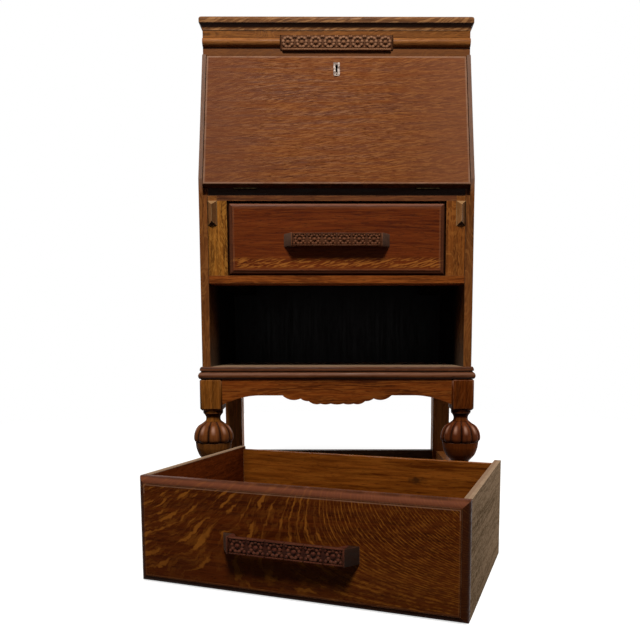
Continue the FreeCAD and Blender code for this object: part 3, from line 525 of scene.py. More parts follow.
oakFinishes = {
    "oakTop": dict(
        pieces=["top_board"], dark=(0.07, 0.024, 0.006), light=(0.2, 0.078, 0.022),
        fleck=(0.34, 0.16, 0.056), fleckShare=0.75, fleckLength=0.022, fleckSlant=1.4,
        wornAndHighlight=(0.34, 0.19, 0.1), shift=(0.3, 0.2, 0.0), specular=0.06,
        # Painted shade in the cove under the nose
        tintBands=[tintBand("z", topBox[0].z + 0.0055, topBox[0].z + 0.0145, (0.012, 0.003, 0.001), 0.97,
                      soft=0.0015),
                tintBand("z", 0.0, 2.0, (0.15, 0.056, 0.0145), 0.6, facing=(0.0, 0.0, 1.0))]),
    "oakFrieze": dict(
        pieces=["frieze_board"], dark=(0.1, 0.034, 0.006), light=(0.21, 0.07, 0.013),
        fleck=(0.3, 0.11, 0.022), fleckLength=0.02, fleckWidth=0.002, wornAndHighlight=(0.3, 0.13, 0.05),
        shift=(0.9, 0.4, 0.1),
        # Darker on the lower flat, a painted shadow just under the bead and a line of painted shade in the
        # joint above it
        tintBands=[tintBand("z", 0.0, beadBox[0].z - 0.003, (0.12, 0.042, 0.016), 0.6),
                tintBand("z", beadBox[0].z - 0.0035, beadBox[0].z + 0.002, (0.012, 0.002, 0.001), 0.9),
                tintBand("z", beadBox[1].z - 0.001, beadBox[1].z + 0.0015, (0.06, 0.016, 0.004), 0.7)]),
    "oakBead": dict(
        pieces=pair("frieze_bead"), dark=(0.17, 0.056, 0.011),
        light=(0.29, 0.1, 0.02), fleck=(0.35, 0.138, 0.034), fleckLength=0.02, fleckWidth=0.002,
        wornAndHighlight=(0.3, 0.14, 0.06), shift=(0.4, 0.1, 0.3), specular=0.08),
    "oakFall": dict(
        pieces=["fall_panel"], origin=fallMiddle, turn=fallAngles, half=fallHalf, dark=(0.1, 0.025, 0.005),
        light=(0.165, 0.045, 0.0098), fleck=(0.28, 0.1, 0.0215), fleckShare=0.65, fleckLength=0.013,
        fleckWidth=0.0009, fleckSlant=0.5, cloud=0.3, specular=0.02, wornAndHighlight=(0.34, 0.2, 0.12),
        wornAndHighlightWidth=0.002,
        tintBands=[tintBand("x", -1.0, -0.2, (0.132, 0.046, 0.024), 0.5, soft=0.1),
                tintBand("x", 0.2, 1.0, (0.2, 0.08, 0.042), 0.4, soft=0.1)],
        # A painted highlight along the rounded edge, partly rubbing, and a line of painted shade in the gap
        # at the outline
        lines=[edge(0.001, 0.0045, (0.3, 0.17, 0.11), 0.75),
               edge(-0.002, 0.0004, (0.02, 0.008, 0.004), 0.9)]),
    "oakSide": dict(
        pieces=pair("side"), along="z", dark=(0.07, 0.022, 0.005),
        light=(0.2, 0.063, 0.014), fleck=(0.29, 0.11, 0.027), fleckLength=0.02, fleckWidth=0.002, bay=True,
        wornAndHighlight=(0.22, 0.12, 0.065), shift=(0.2, 0.9, 0.3),
        # A greyish painted reflection on the front-facing edges above the slope's foot
        tintBands=[tintBand("z", slopeFoot, 2.0, (0.16, 0.1, 0.075), 0.65, soft=0.02, facing=(0.0, -1.0, 0.0))]),
    "oakStileLeft": dict(
        pieces=["stile_left"], along="z", dark=(0.11, 0.036, 0.005), light=(0.34, 0.12, 0.015),
        fleck=(0.5, 0.215, 0.036), fleckLength=0.008, fleckWidth=0.002, wornAndHighlight=(0.36, 0.2, 0.08),
        shift=(0.5, 0.13, 0.2),
        tintBands=[tintBand("x", -1.0, jointLeft + 0.0012, (0.05, 0.015, 0.004), 0.6)]),
    "oakStileRight": dict(
        pieces=["stile_right"], along="z", dark=(0.085, 0.023, 0.004), light=(0.235, 0.068, 0.0105),
        fleck=(0.35, 0.125, 0.024), fleckLength=0.008, fleckWidth=0.002, wornAndHighlight=(0.34, 0.17, 0.07),
        shift=(0.7, 0.33, 0.2),
        tintBands=[tintBand("x", jointRight - 0.0012, 1.0, (0.04, 0.012, 0.004), 0.6)]),
    "oakRail": dict(
        pieces=["drawer_rail"], dark=(0.09, 0.02, 0.003), light=(0.255, 0.061, 0.009),
        fleck=(0.35, 0.105, 0.018), fleckLength=0.02, fleckWidth=0.0016, wornAndHighlight=(0.3, 0.12, 0.05),
        shift=(0.1, 0.7, 0.4)),
    "oakFallRail": dict(
        pieces=["fall_rail"], dark=(0.06, 0.018, 0.006), light=(0.15, 0.046, 0.016),
        fleck=(0.22, 0.08, 0.024), fleckLength=0.02, fleckWidth=0.0016, wornAndHighlight=(0.26, 0.12, 0.05)),
    "oakUpperDrawer": dict(
        pieces=["upper_drawer_front"], origin=upperMiddle, dark=(0.07, 0.011, 0.002),
        light=(0.145, 0.027, 0.004), fleck=(0.2, 0.048, 0.008), fleckShare=0.4, fleckWidth=0.0012,
        fleckSlant=0.05, wornAndHighlight=(0.24, 0.11, 0.06), half=upperHalf, band=(-0.062, -0.043),
        # Moulded border: painted light along the top, painted shade on the ends and below; a painted
        # highlight at the quirk's edge, painted shade in the quirk and in the gap at the outline
        bandColour=(0.33, 0.11, 0.018), border=(0.205, 0.083, 0.048), borderDark=(0.095, 0.034, 0.017),
        borderWidth=0.0105, borderShare=0.75,
        lines=[edge(0.0122, 0.0142, (0.2, 0.08, 0.036), 0.55),
               edge(0.0075, 0.0105, (0.035, 0.008, 0.002), 0.65),
               edge(-0.001, 0.001, (0.03, 0.01, 0.005), 0.6)]),
    "oakLowerDrawer": dict(
        pieces=["lower_drawer_front"], origin=lowerMiddle, turn=floorAngles, dark=(0.045, 0.0075, 0.001),
        light=(0.1, 0.0195, 0.0027), fleck=(0.17, 0.042, 0.0075), fleckShare=0.2, half=lowerHalf,
        figure=(0.28, 0.09, 0.0115), figureDim=(0.14, 0.038, 0.0065), wornAndHighlight=(0.34, 0.16, 0.08),
        # Moulded border: painted light along the top, painted shade on the ends and below; darker towards the
        # bottom; a painted highlight at the quirk's edge, brightest on top, painted shade in the quirk and in
        # the gap at the outline
        border=(0.155, 0.05, 0.025), borderDark=(0.032, 0.009, 0.004), borderWidth=0.0118, borderShare=0.8,
        specular=0.02,
        tintBands=[tintBand("z", -1.0, -0.05, (0.02, 0.004, 0.001), 0.3, soft=0.04)],
        lines=[edge(0.0126, 0.0142, (0.36, 0.19, 0.12), 0.75, topOnly=True),
               edge(0.0126, 0.0142, (0.2, 0.08, 0.03), 0.4),
               edge(0.0104, 0.0124, (0.025, 0.006, 0.002), 0.7),
               edge(-0.001, 0.002, (0.02, 0.007, 0.003), 0.7)]),
    "oakDrawerInside": dict(
        pieces=["lower_drawer_back", "lower_drawer_bottom"], origin=floorOrigin, turn=floorAngles,
        dark=(0.08, 0.017, 0.001), light=(0.24, 0.068, 0.007), fleck=(0.3, 0.1, 0.012), fleckShare=0.3,
        # Grime and painted shade reach far into the inner corners
        wornAndHighlight=(0.5, 0.32, 0.2), wornAndHighlightShare=0.9, dirtAndShadeShare=0.6, dirtAndShadeReach=0.04,
        knot=dict(place=(0.117, 0.134), size=0.011, colour=(0.03, 0.01, 0.003))),
    "oakDrawerSide": dict(
        pieces=pair("lower_drawer_side"), along="y", origin=lowerMiddle,
        turn=floorAngles, dark=(0.15, 0.096, 0.053), light=(0.36, 0.245, 0.155), fleck=(0.47, 0.34, 0.225),
        specular=0.0, fleckLength=0.008, fleckWidth=0.002, wornAndHighlight=(0.45, 0.32, 0.2), wornAndHighlightShare=0.8,
        dirtAndShadeShare=0.5,
        tintBands=[tintBand("x", -sideInner, sideInner, (0.3, 0.09, 0.025), 1.0, kind="MULTIPLY"),
                tintBand("z", sideTop - 0.001, 1.0, (0.32, 0.215, 0.14), 0.75)]),
    "oakInside": dict(
        insideFinish, pieces=["stationery_shelf", "upper_drawer_back", "upper_drawer_bottom"]),
    "oakWriting": dict(
        insideFinish, pieces=["writing_floor"], wornAndHighlightShare=0.0,
        # A painted shadow under the fall along the writing floor's front edge
        tintBands=[tintBand("y", writingBox[0].y - 0.01, writingBox[0].y + 0.002, (0.008, 0.003, 0.002), 0.97)]),
    "oakInsideDepth": dict(
        insideFinish, pieces=pair("loper", "loper_guide", "upper_drawer_side", "stationery_divider"),
        along="y", light=(0.24, 0.08, 0.018)),
    "oakRunner": dict(
        # Near black: painted shade on the runners inside the bay
        pieces=pair("drawer_runner"), along="y", dark=(0.004, 0.002, 0.001),
        light=(0.009, 0.004, 0.002), fleck=(0.012, 0.006, 0.003), fleckShare=0.3),
    "oakBay": dict(
        # Pale raw wood, partly a painted sheen
        pieces=["bottom_board"], dark=(0.19, 0.115, 0.065), light=(0.33, 0.215, 0.13),
        fleck=(0.4, 0.27, 0.17), fleckShare=0.3, wornAndHighlight=(0.36, 0.24, 0.15), dirtAndShadeShare=0.4),
    "oakMoulding": dict(waistFinish, pieces=["waist_front"]),
    "oakMouldingDepth": dict(waistFinish, pieces=pair("waist"), along="y"),
    "oakApron": dict(
        pieces=["apron"], dark=(0.06, 0.0125, 0.0017), light=(0.215, 0.049, 0.006),
        fleck=(0.32, 0.096, 0.015), fleckShare=0.45, fleckWidth=0.0018, fleckSlant=0.1,
        wornAndHighlight=(0.26, 0.1, 0.04)),
    "oakLegLeft": dict(
        pieces=["leg_front_left"], along="z", dark=(0.045, 0.013, 0.002), light=(0.255, 0.083, 0.012),
        fleck=(0.36, 0.135, 0.026), fleckShare=0.3, fleckLength=0.02, fleckWidth=0.002,
        # Painted shade in the grooves, a painted highlight on the lobes' crests
        hollows=(0.014, 0.003, 0.001), wornAndHighlight=(0.5, 0.28, 0.2), specular=0.01,
        tintBands=[tintBand("z", lobesLow, lobesHigh, (0.13, 0.036, 0.015), 0.6),
                tintBand("z", 0.0, lobesLow, (0.11, 0.036, 0.01), 0.5)]),
    "oakLegRight": dict(
        pieces=["leg_front_right"], along="z", dark=(0.025, 0.0045, 0.0007), light=(0.12, 0.026, 0.0035),
        fleck=(0.22, 0.064, 0.014), fleckShare=0.3, fleckLength=0.02, fleckWidth=0.002,
        # Painted shade in the grooves, a painted highlight on the lobes' crests
        hollows=(0.012, 0.0025, 0.001), wornAndHighlight=(0.48, 0.26, 0.18), specular=0.01,
        tintBands=[tintBand("z", lobesLow, lobesHigh, (0.12, 0.033, 0.014), 0.45),
                tintBand("z", 0.0, lobesLow, (0.11, 0.024, 0.0035), 0.65)]),
    "oakCarved": dict(
        pieces=["frieze_carving"], dark=(0.17, 0.073, 0.033), light=(0.26, 0.12, 0.06),
        # Painted shade in the carved hollows, a painted highlight on the petals' crests
        fleck=(0.36, 0.18, 0.09), fleckShare=0.2, hollows=(0.035, 0.009, 0.003), wornAndHighlight=(0.5, 0.29, 0.19),
        wornAndHighlightShare=0.3, dirtAndShadeShare=0.4, specular=0.02),
    "oakHandleUpper": dict(
        pieces=["upper_drawer_handle"], origin=upperHandleMiddle, dark=(0.09, 0.03, 0.012),
        light=(0.15, 0.052, 0.022), fleck=(0.2, 0.08, 0.035), fleckShare=0.2,
        # Painted shade in the sunk ground and carved hollows, a painted highlight on the crests
        hollows=(0.024, 0.008, 0.004), wornAndHighlight=(0.2, 0.085, 0.045), wornAndHighlightShare=0.4, dirtAndShadeShare=0.5,
        tintBands=[tintBand("x", -1.0, -handleHalf + 0.017, (0.09, 0.06, 0.045), 0.7),
                tintBand("x", handleHalf - 0.017, 1.0, (0.07, 0.045, 0.033), 0.7)]),
    "oakHandleLower": dict(
        pieces=["lower_drawer_handle"], origin=lowerHandleMiddle, turn=floorAngles,
        dark=(0.05, 0.013, 0.007), light=(0.085, 0.022, 0.012), fleck=(0.12, 0.04, 0.022), fleckShare=0.2,
        # Painted shade in the sunk ground and carved hollows, a painted highlight on the crests; the left
        # canted end greyer, the right one in painted shade
        hollows=(0.013, 0.004, 0.002), wornAndHighlight=(0.26, 0.1, 0.05), wornAndHighlightShare=0.7, dirtAndShadeShare=0.5,
        tintBands=[tintBand("x", -1.0, -handleHalf + 0.017, (0.03, 0.02, 0.014), 0.8),
                tintBand("x", handleHalf - 0.017, 1.0, (0.014, 0.008, 0.005), 0.85)]),
    "oakStand": dict(
        pieces=["stand_rail_back", *pair("leg_back", "stand_rail", "stretcher")], along="z",
        dark=(0.22, 0.072, 0.016), light=(0.5, 0.17, 0.04), fleck=(0.58, 0.22, 0.055),
        fleckShare=0.3, wornAndHighlight=(0.26, 0.13, 0.07)),
    "oakStretcher": dict(
        pieces=["stretcher_back"], dark=(0.06, 0.022, 0.009), light=(0.11, 0.045, 0.02),
        fleck=(0.16, 0.08, 0.04), fleckShare=0.3, wornAndHighlight=(0.24, 0.16, 0.1)),
    "oakBack": dict(
        pieces=["back_panel"], along="z", dark=(0.14, 0.06, 0.025), light=(0.24, 0.11, 0.05),
        fleck=(0.3, 0.15, 0.07), fleckShare=0.25, bay=True, wornAndHighlight=(0.3, 0.17, 0.09)),
    "oakLoper": dict(
        pieces=pair("loper_front"), along="z", dark=(0.15, 0.06, 0.016),
        light=(0.27, 0.115, 0.036), fleck=(0.38, 0.18, 0.07), fleckShare=0.3, wornAndHighlight=(0.5, 0.3, 0.13),
        wornAndHighlightWidth=0.0022, wornAndHighlightShare=0.8,
        # Painted shade on the downward facet, painted light and lit edges on the top facet, painted shade on
        # the right facet
        tintBands=[tintBand("z", 0.0, 2.0, (0.02, 0.008, 0.003), 0.9, facing=(0.0, 0.0, -1.0)),
                tintBand("z", 0.0, 2.0, (0.3, 0.17, 0.075), 0.7, facing=(0.0, 0.0, 1.0)),
                tintBand("z", 0.0, 2.0, (0.07, 0.026, 0.008), 0.6, facing=(1.0, 0.0, 0.0))]),
}


def dress(node, material):
    slots = nodes[node].data.materials
    slots.clear()
    slots.append(material)


oak = {name: oakMaterial(name, {**oakDefaults, **settings}) for name, settings in oakFinishes.items()}
for finish, settings in oakFinishes.items():
    for name in settings["pieces"]:
        dress(name, oak[finish])
print("stage: oak finishes,", len(oak))


# Metal and bone
def makePatinaGroup():
    tree, given, result = shaderGroup("patina", {
        "Vector": (0, 0, 0), "Clean": (0.6, 0.4, 0.16), "Dull": (0.2, 0.12, 0.05), "Scale": 120.0,
    }, ("Color", "Roughness", "Height"))
    cloud = noise(given["Vector"], given["Scale"], detail=4, roughness=0.6)
    scratch = noise(stretch(given["Vector"], (300.0, 2600.0, 2600.0)), detail=2)
    share = spread(cloud, 0.36, 0.64)
    feed(result["Color"], blendColour(share, given["Clean"], given["Dull"]))
    feed(result["Roughness"], share * 0.22 + 0.3)
    feed(result["Height"], scratch * 0.5 + cloud * 0.3)
    return tree


patinaGroup = makePatinaGroup()
patinaFinishes = {
    "agedBrass": dict(
        pieces=["hinge_floor_leaves", "hinge_fall_leaves", "hinge_pins", "hinge_floor_screws",
                "hinge_fall_screws", "lock_case", "lock_bolt"],
        clean=(0.034, 0.021, 0.0095), dull=(0.01, 0.006, 0.003), scale=140.0, metallic=1.0, specular=0.5,
        dirtAndShade=(0.006, 0.004, 0.003), dirtAndShadeReach=0.02),
    "bone": dict(
        pieces=["escutcheon"], clean=(0.28, 0.185, 0.125), dull=(0.09, 0.05, 0.032), scale=170.0,
        metallic=0.0, specular=0.2, dirtAndShade=None),
}


def patinaMaterial(name, settings):
    material, tree, shader = startMaterial(name, settings["specular"])
    shader.inputs["Metallic"].default_value = settings["metallic"]
    place = source(tree, "ShaderNodeTexCoord", "Object")
    patina = useGroup(tree, patinaGroup, {
        "Vector": place, "Clean": opaque(settings["clean"]), "Dull": opaque(settings["dull"]),
        "Scale": settings["scale"]})
    colour = patina["Color"]
    if settings["dirtAndShade"]:
        wearAndLight = useGroup(tree, wearAndLightGroup, {"Vector": place, "Reach": settings["dirtAndShadeReach"]})
        colour = blendColour(wearAndLight["Dirt And Shade"], colour, settings["dirtAndShade"])
    finishSurface(shader, colour, patina["Roughness"], patina["Height"], depth=0.0002, strength=0.3)
    return material


patinas = {name: patinaMaterial(name, settings) for name, settings in patinaFinishes.items()}
for finish, settings in patinaFinishes.items():
    for name in settings["pieces"]:
        dress(name, patinas[finish])


# Small helpers for meshes
def smoothLine(points, steps):  # a soft curve through the given points
    line = []
    last = len(points) - 1
    for index in range(last):
        before, start = points[max(index - 1, 0)], points[index]
        end, after = points[index + 1], points[min(index + 2, last)]
        for step in range(steps):
            t = step / steps
            line.append(tuple(
                0.5 * (2 * b + (c - a) * t + (2 * a - 5 * b + 4 * c - d) * t * t
                       + (3 * b - a - 3 * c + d) * t ** 3)
                for a, b, c, d in zip(before, start, end, after)))
    line.append(tuple(points[last]))
    return line


def circle(segments):  # cosine and sine of each step round a circle
    turns = [2 * math.pi * step / segments for step in range(segments)]
    return [(math.cos(turn), math.sin(turn)) for turn in turns]


def hollowLayer(shape):
    return shape.verts.layers.float.get("hollow") or shape.verts.layers.float.new("hollow")


def addWall(shape, lower, upper, closed=True):  # faces between two rows of vertices
    count = len(lower)
    for index in range(count if closed else count - 1):
        following = (index + 1) % count
        shape.faces.new((lower[index], lower[following], upper[following], upper[index]))


def addGrid(shape, rows, closed):  # faces between rows of points, each (x, y, z, hollow)
    layer = hollowLayer(shape)
    made = []
    for row in rows:
        verts = []
        for x, y, z, hollow in row:
            vert = shape.verts.new((x, y, z))
            vert[layer] = hollow
            verts.append(vert)
        made.append(verts)
    for lower, upper in zip(made, made[1:]):
        addWall(shape, lower, upper, closed)
    return made


def addTurning(shape, profile, segments):  # profile of (radius, height, hollow), ends capped
    rows = [[(radius * x, radius * y, height, hollow) for x, y in circle(segments)]
            for radius, height, hollow in profile]
    made = addGrid(shape, rows, True)
    shape.faces.new(list(reversed(made[0])))
    shape.faces.new(made[-1])


# The dome carries painted shade at its rim and a painted highlight at its tip.
def addDome(shape, centre, radii, rings=6, segments=14, hollow=0.9, crest=0.0):  # half an ellipsoid facing -y
    rows = []
    for ring in range(rings):
        share = ring / rings
        lift = math.pi / 2 * share
        shade = hollow * (1 - share) ** 6 - crest * share ** 2
        rows.append([(centre[0] + radii[0] * math.cos(lift) * x, centre[1] - radii[1] * math.sin(lift),
                      centre[2] + radii[2] * math.cos(lift) * z, shade) for x, z in circle(segments)])
    made = addGrid(shape, rows, True)
    tip = shape.verts.new((centre[0], centre[1] - radii[1], centre[2]))
    tip[hollowLayer(shape)] = -crest
    for index, vert in enumerate(made[-1]):
        shape.faces.new((vert, made[-1][(index + 1) % segments], tip))


# The hollow value gives the whole block painted shade.
def addBlock(shape, low, high, ease, hollow=0.0, segments=2):  # a board with eased edges
    layer = hollowLayer(shape)
    box = bmesh.new()
    bmesh.ops.create_cube(box, size=1.0)
    size = Matrix.Diagonal((*[high[axis] - low[axis] for axis in range(3)], 1))
    box.transform(Matrix.Translation([(low[axis] + high[axis]) / 2 for axis in range(3)]) @ size)
    bmesh.ops.bevel(box, geom=box.edges[:], offset=ease, segments=segments, profile=0.5, affect="EDGES")
    joined = {}
    for vert in box.verts:
        joined[vert] = shape.verts.new(vert.co)
        joined[vert][layer] = hollow
    for face in box.faces:
        shape.faces.new([joined[vert] for vert in face.verts])
    box.free()


def meshObject(name, shape, sharpAngle=35.0):
    bmesh.ops.recalc_face_normals(shape, faces=shape.faces[:])
    mesh = bpy.data.meshes.new(name)
    shape.to_mesh(mesh)
    shape.free()
    for polygon in mesh.polygons:
        polygon.use_smooth = True
    mesh.set_sharp_from_angle(angle=math.radians(sharpAngle))
    made = bpy.data.objects.new(name, mesh)
    scene.collection.objects.link(made)
    return made


# One node group for every repeat: copies of a motif in a row or a ring, joined to the base
def makeRepeatGroup():
    tree = bpy.data.node_groups.new("repeatMotif", "GeometryNodeTree")
    inputs = {"Base": "Geometry", "Motif": "Object", "Count": "Int", "First": "Vector", "Step": "Vector",
              "Start Turn": "Float", "Turn": "Vector", "Material": "Material"}
    for label, kind in inputs.items():
        tree.interface.new_socket(name=label, in_out="INPUT", socket_type="NodeSocket" + kind)
    tree.interface.new_socket(name="Geometry", in_out="OUTPUT", socket_type="NodeSocketGeometry")
    sockets = addNode(tree, "NodeGroupInput").outputs
    given = {label: Wire(tree, sockets[label]) for label in inputs}
    points = build("GeometryNodeMeshLine", {
        "Count": given["Count"], "Start Location": given["First"], "Offset": given["Step"]})
    motif = build("GeometryNodeObjectInfo", {"Object": given["Motif"]}, "Geometry")
    order = source(tree, "GeometryNodeInputIndex", 0) + given["Start Turn"]
    angles = build("ShaderNodeVectorMath", {0: given["Turn"], "Scale": order}, operation="SCALE")
    copies = build("GeometryNodeInstanceOnPoints", {"Points": points, "Instance": motif, "Rotation": angles})
    joined = addNode(tree, "GeometryNodeJoinGeometry")
    for geometry in (given["Base"], copies):
        feed(joined.inputs[0], geometry)
    real = build("GeometryNodeRealizeInstances", {0: Wire(tree, joined.outputs[0])})
    painted = build("GeometryNodeSetMaterial", {0: real, "Material": given["Material"]})
    feed(addNode(tree, "NodeGroupOutput").inputs[0], painted)
    return tree


repeatGroup = makeRepeatGroup()


def repeated(base, motif, count, material, first=(0, 0, 0), step=(0, 0, 0), startTurn=0.0, turn=(0, 0, 0)):
    modifier = base.modifiers.new("repeat", "NODES")
    modifier.node_group = repeatGroup
    values = {"Motif": motif, "Count": count, "First": first, "Step": step,
              "Start Turn": startTurn, "Turn": turn, "Material": material}
    for item in repeatGroup.interface.items_tree:
        if item.in_out == "INPUT" and item.name in values:
            modifier[item.identifier] = values[item.name]
    depsgraph = bpy.context.evaluated_depsgraph_get()
    mesh = bpy.data.meshes.new_from_object(base.evaluated_get(depsgraph), depsgraph=depsgraph)
    base.modifiers.remove(modifier)
    old = base.data
    base.data = mesh
    bpy.data.meshes.remove(old)


def drop(motif):
    mesh = motif.data
    bpy.data.objects.remove(motif)
    bpy.data.meshes.remove(mesh)


# Front legs: square blocks, a turned collar and neck, carved lobes over a plain cup
# The collar, neck, cup and foot list (radius, height, hollow), the hollow being painted shade and below zero
# a painted highlight; the crown of the lobes (radius, height)
legShape = {
    "half": 0.025, "ease": 0.004, "lowBlock": (0.046, 0.112), "topBlock": (0.2555, 0.326),
    "lobes": 10, "lobeFoot": (0.034, 0.1828), "groove": 0.0042, "grooveStart": 0.3, "grooveGrowth": 2.0,
    # crest: a painted highlight on each lobe
    "crest": {"across": -0.2, "width": 0.45, "down": 0.45, "length": 0.22, "share": 0.4, "core": 0.35},
    "collar": [(0.0222, 0.256, 0.7), (0.0222, 0.2545, 0.85), (0.0222, 0.2515, 0.85), (0.0222, 0.2498, 0.3),
               (0.0218, 0.2485, -0.3), (0.0212, 0.2472, 0.4), (0.0205, 0.2468, 0.8), (0.0191, 0.2447, 0.8),
               (0.0176, 0.2424, 0.75), (0.0166, 0.2403, 0.6), (0.0162, 0.2385, 0.35)],
    "neck": [(0.0162, 0.2385, 0.35), (0.0161, 0.2365, 0.0), (0.0163, 0.2345, 0.0), (0.0168, 0.2325, 0.0),
             (0.0178, 0.2305, 0.1), (0.0198, 0.2287, 0.8), (0.021, 0.222, 0.9)],
    "crown": [(0.0176, 0.2308), (0.0202, 0.2287), (0.0265, 0.224), (0.032, 0.2207), (0.036, 0.2172),
              (0.0394, 0.2126), (0.0418, 0.208), (0.0437, 0.2025), (0.0448, 0.1965), (0.0451, 0.1915),
              (0.0442, 0.1873), (0.0415, 0.1835)],
    "cup": [(0.037, 0.184, 0.9), (0.037, 0.1826, 0.9), (0.0408, 0.1818, 0.1), (0.0405, 0.1785, 0.0),
            (0.0398, 0.1735, 0.0), (0.0391, 0.1688, 0.0), (0.0362, 0.1596, 0.0), (0.0318, 0.1505, 0.0),
            (0.023, 0.1411, 0.1), (0.0195, 0.136, 0.2), (0.018, 0.1305, 0.1), (0.0187, 0.1235, 0.0),
            (0.0205, 0.1185, 0.0), (0.0205, 0.1115, 0.3)],
    "foot": [(0.0158, 0.047, 0.4), (0.016, 0.041, 0.4), (0.0205, 0.0345, 0.1), (0.0229, 0.0235, 0.0),
             (0.022, 0.012, 0.0), (0.0178, 0.0, 0.2)],
}


def hump(value, centre, width):  # one at the centre, nothing from the width on
    return max(0.0, 1 - ((value - centre) / width) ** 2)


def makeLobe(settings):  # one carved lobe facing -y, a round rib between two grooves
    half = math.pi / settings["lobes"]
    line = smoothLine(settings["crown"], 5)
    columns = 14
    steps = [2 * column / columns - 1 for column in range(columns + 1)]
    light = settings["crest"]
    rows = []
    for index, (radius, height) in enumerate(line):
        reach = index / (len(line) - 1)
        groove = settings["groove"] * min(1.0, settings["grooveStart"] + settings["grooveGrowth"] * reach)
        row = []
        for step in steps:
            across = math.sin(math.pi / 2 * step)
            away = radius - groove * (1 - math.sqrt(max(0.0, 1 - across * across)))
            turn = half * across - math.pi / 2
            # shade: painted shade in the grooves, less a painted highlight near the crest
            crest = hump(across, light["across"], light["width"])
            crest *= hump(reach, light["down"], light["length"])
            shade = min(1.0, 1.7 * abs(across) ** 6) - light["share"] * crest - light["core"] * crest ** 3
            row.append((away * math.cos(turn), away * math.sin(turn), height, shade))
        rows.append(row)
    inner, under = settings["lobeFoot"]
    turns = [half * step - math.pi / 2 for step in steps]
    rows.append([(inner * math.cos(turn), inner * math.sin(turn), under, 0.9) for turn in turns])
    shape = bmesh.new()
    addGrid(shape, rows, False)
    return meshObject("lobe", shape, sharpAngle=50.0)


def makeLeg(name, node, body, material, startTurn, settings):
    shape = bmesh.new()
    half = settings["half"]
    for low, high in (settings["lowBlock"], settings["topBlock"]):
        addBlock(shape, (-half, -half, low), (half, half, high), settings["ease"], segments=1)
    addTurning(shape, settings["collar"] + smoothLine(settings["neck"], 4)[1:], 64)
    addTurning(shape, settings["cup"][:3] + smoothLine(settings["cup"][2:], 4)[1:], 64)
    addTurning(shape, smoothLine(settings["foot"], 4), 48)
    leg = meshObject(name, shape, sharpAngle=40.0)
    lobe = makeLobe(settings)
    count = settings["lobes"]
    repeated(leg, lobe, count, material, startTurn=startTurn, turn=(0, 0, 2 * math.pi / count))
    drop(lobe)
    spot = middle(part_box(node))
    leg.data.transform(Matrix.Translation((spot.x, spot.y, cadBox[0].z)))
    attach(leg, body)
    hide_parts(node)


makeLeg("turnedLegLeft", "leg_front_left", "desk", oak["oakLegLeft"], startTurn=0.347, settings=legShape)
makeLeg("turnedLegRight", "leg_front_right", "desk", oak["oakLegRight"], startTurn=0.31,
        settings={**legShape, "lobes": 11})
print("stage: front legs")

# Rosettes: a ring of petals about a boss
# rimDark is painted shade at the petals' rims, crest a painted highlight on their tips
rosetteShape = {"petals": 9, "ring": 0.0103, "petal": (0.0044, 0.0028, 0.0036),
                "boss": (0.0044, 0.0034, 0.0044), "rimDark": 0.6, "crest": 0.3}


def makePetal(settings):
    shape = bmesh.new()
    addDome(shape, (0, 0, settings["ring"]), settings["petal"], hollow=settings["rimDark"],
            crest=settings["crest"])
    return meshObject("petal", shape)


def makeRosette(settings, material):
    shape = bmesh.new()
    addDome(shape, (0, 0, 0), settings["boss"])
    rosette = meshObject("rosette", shape)
    petal = makePetal(settings)
    repeated(rosette, petal, settings["petals"], material, turn=(0, 2 * math.pi / settings["petals"], 0))
    drop(petal)
    return rosette


# Carved strip on the frieze
# groundDark, leafDark and lowLeafDark are painted shade on the sunk ground and at the leaves' rims
carvingShape = {
    "count": 8, "pitch": 0.0312, "rosetteLift": 0.0008, "ground": 0.0042, "groundDark": 0.7, "corner": 0.005,
    "lowRim": 0.0042, "rimFront": 0.001, "rimBack": 0.002, "rimEase": 0.0019,
    "leaf": (0.0026, 0.0028, 0.0034), "leafApart": 0.0019, "leafDown": 0.0045, "leafDark": 0.4,
    "lowLeafUp": 0.0075, "lowLeafDark": 0.6,
}


def makeCarving(node, body, material, settings):
    low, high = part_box(node)
    shape = bmesh.new()
    ground = low.y + settings["ground"]
    corner = settings["corner"]
    addBlock(shape, (low.x, ground, low.z), (high.x, high.y + corner, high.z), corner,
             hollow=settings["groundDark"], segments=4)
    addBlock(shape, (low.x + corner, low.y + settings["rimFront"], low.z),
             (high.x - corner, high.y - settings["rimBack"], low.z + settings["lowRim"]),
             settings["rimEase"], segments=3)
    centre = middle((low, high))
    pitch = settings["pitch"]
    first = -(settings["count"] - 1) / 2 * pitch
    for index in range(settings["count"] - 1):
        x = centre.x + first + (index + 0.5) * pitch
        for side in (-1, 1):
            spot = (x + side * settings["leafApart"], ground, high.z - settings["leafDown"])
            addDome(shape, spot, settings["leaf"], hollow=settings["leafDark"])
        spot = (x, ground, low.z + settings["lowLeafUp"])
        addDome(shape, spot, settings["leaf"], hollow=settings["lowLeafDark"])
    carving = meshObject("friezeCarving", shape)
    rosette = makeRosette(rosetteShape, material)
    repeated(carving, rosette, settings["count"], material,
             first=(centre.x + first, ground, centre.z + settings["rosetteLift"]), step=(pitch, 0, 0))
    drop(rosette)
    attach(carving, body)
    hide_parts(node)


makeCarving("frieze_carving", "desk", oak["oakCarved"], carvingShape)
print("stage: frieze carving")

# Handles: a canted bar with a row of carved panels
# groundDark is painted shade on the sunk ground
handleShape = {
    "count": 6, "pitch": 0.0322, "cant": 0.017, "foot": 0.02, "bar": 0.009, "ease": 0.0009,
    "ground": 0.0038, "groundDark": 0.5, "end": 0.0022, "endSlope": 0.001,
    "notch": 0.0024, "rim": 0.002, "rimInset": 0.0006, "rimEase": 0.0008, "rimSink": 0.001,
    "leaf": (0.003, 0.0028, 0.0034), "leafInset": (0.003, 0.0052),
}
handleRosette = {**rosetteShape, "ring": 0.0093, "petal": (0.004, 0.0025, 0.0033),
                 "boss": (0.004, 0.003, 0.004)}


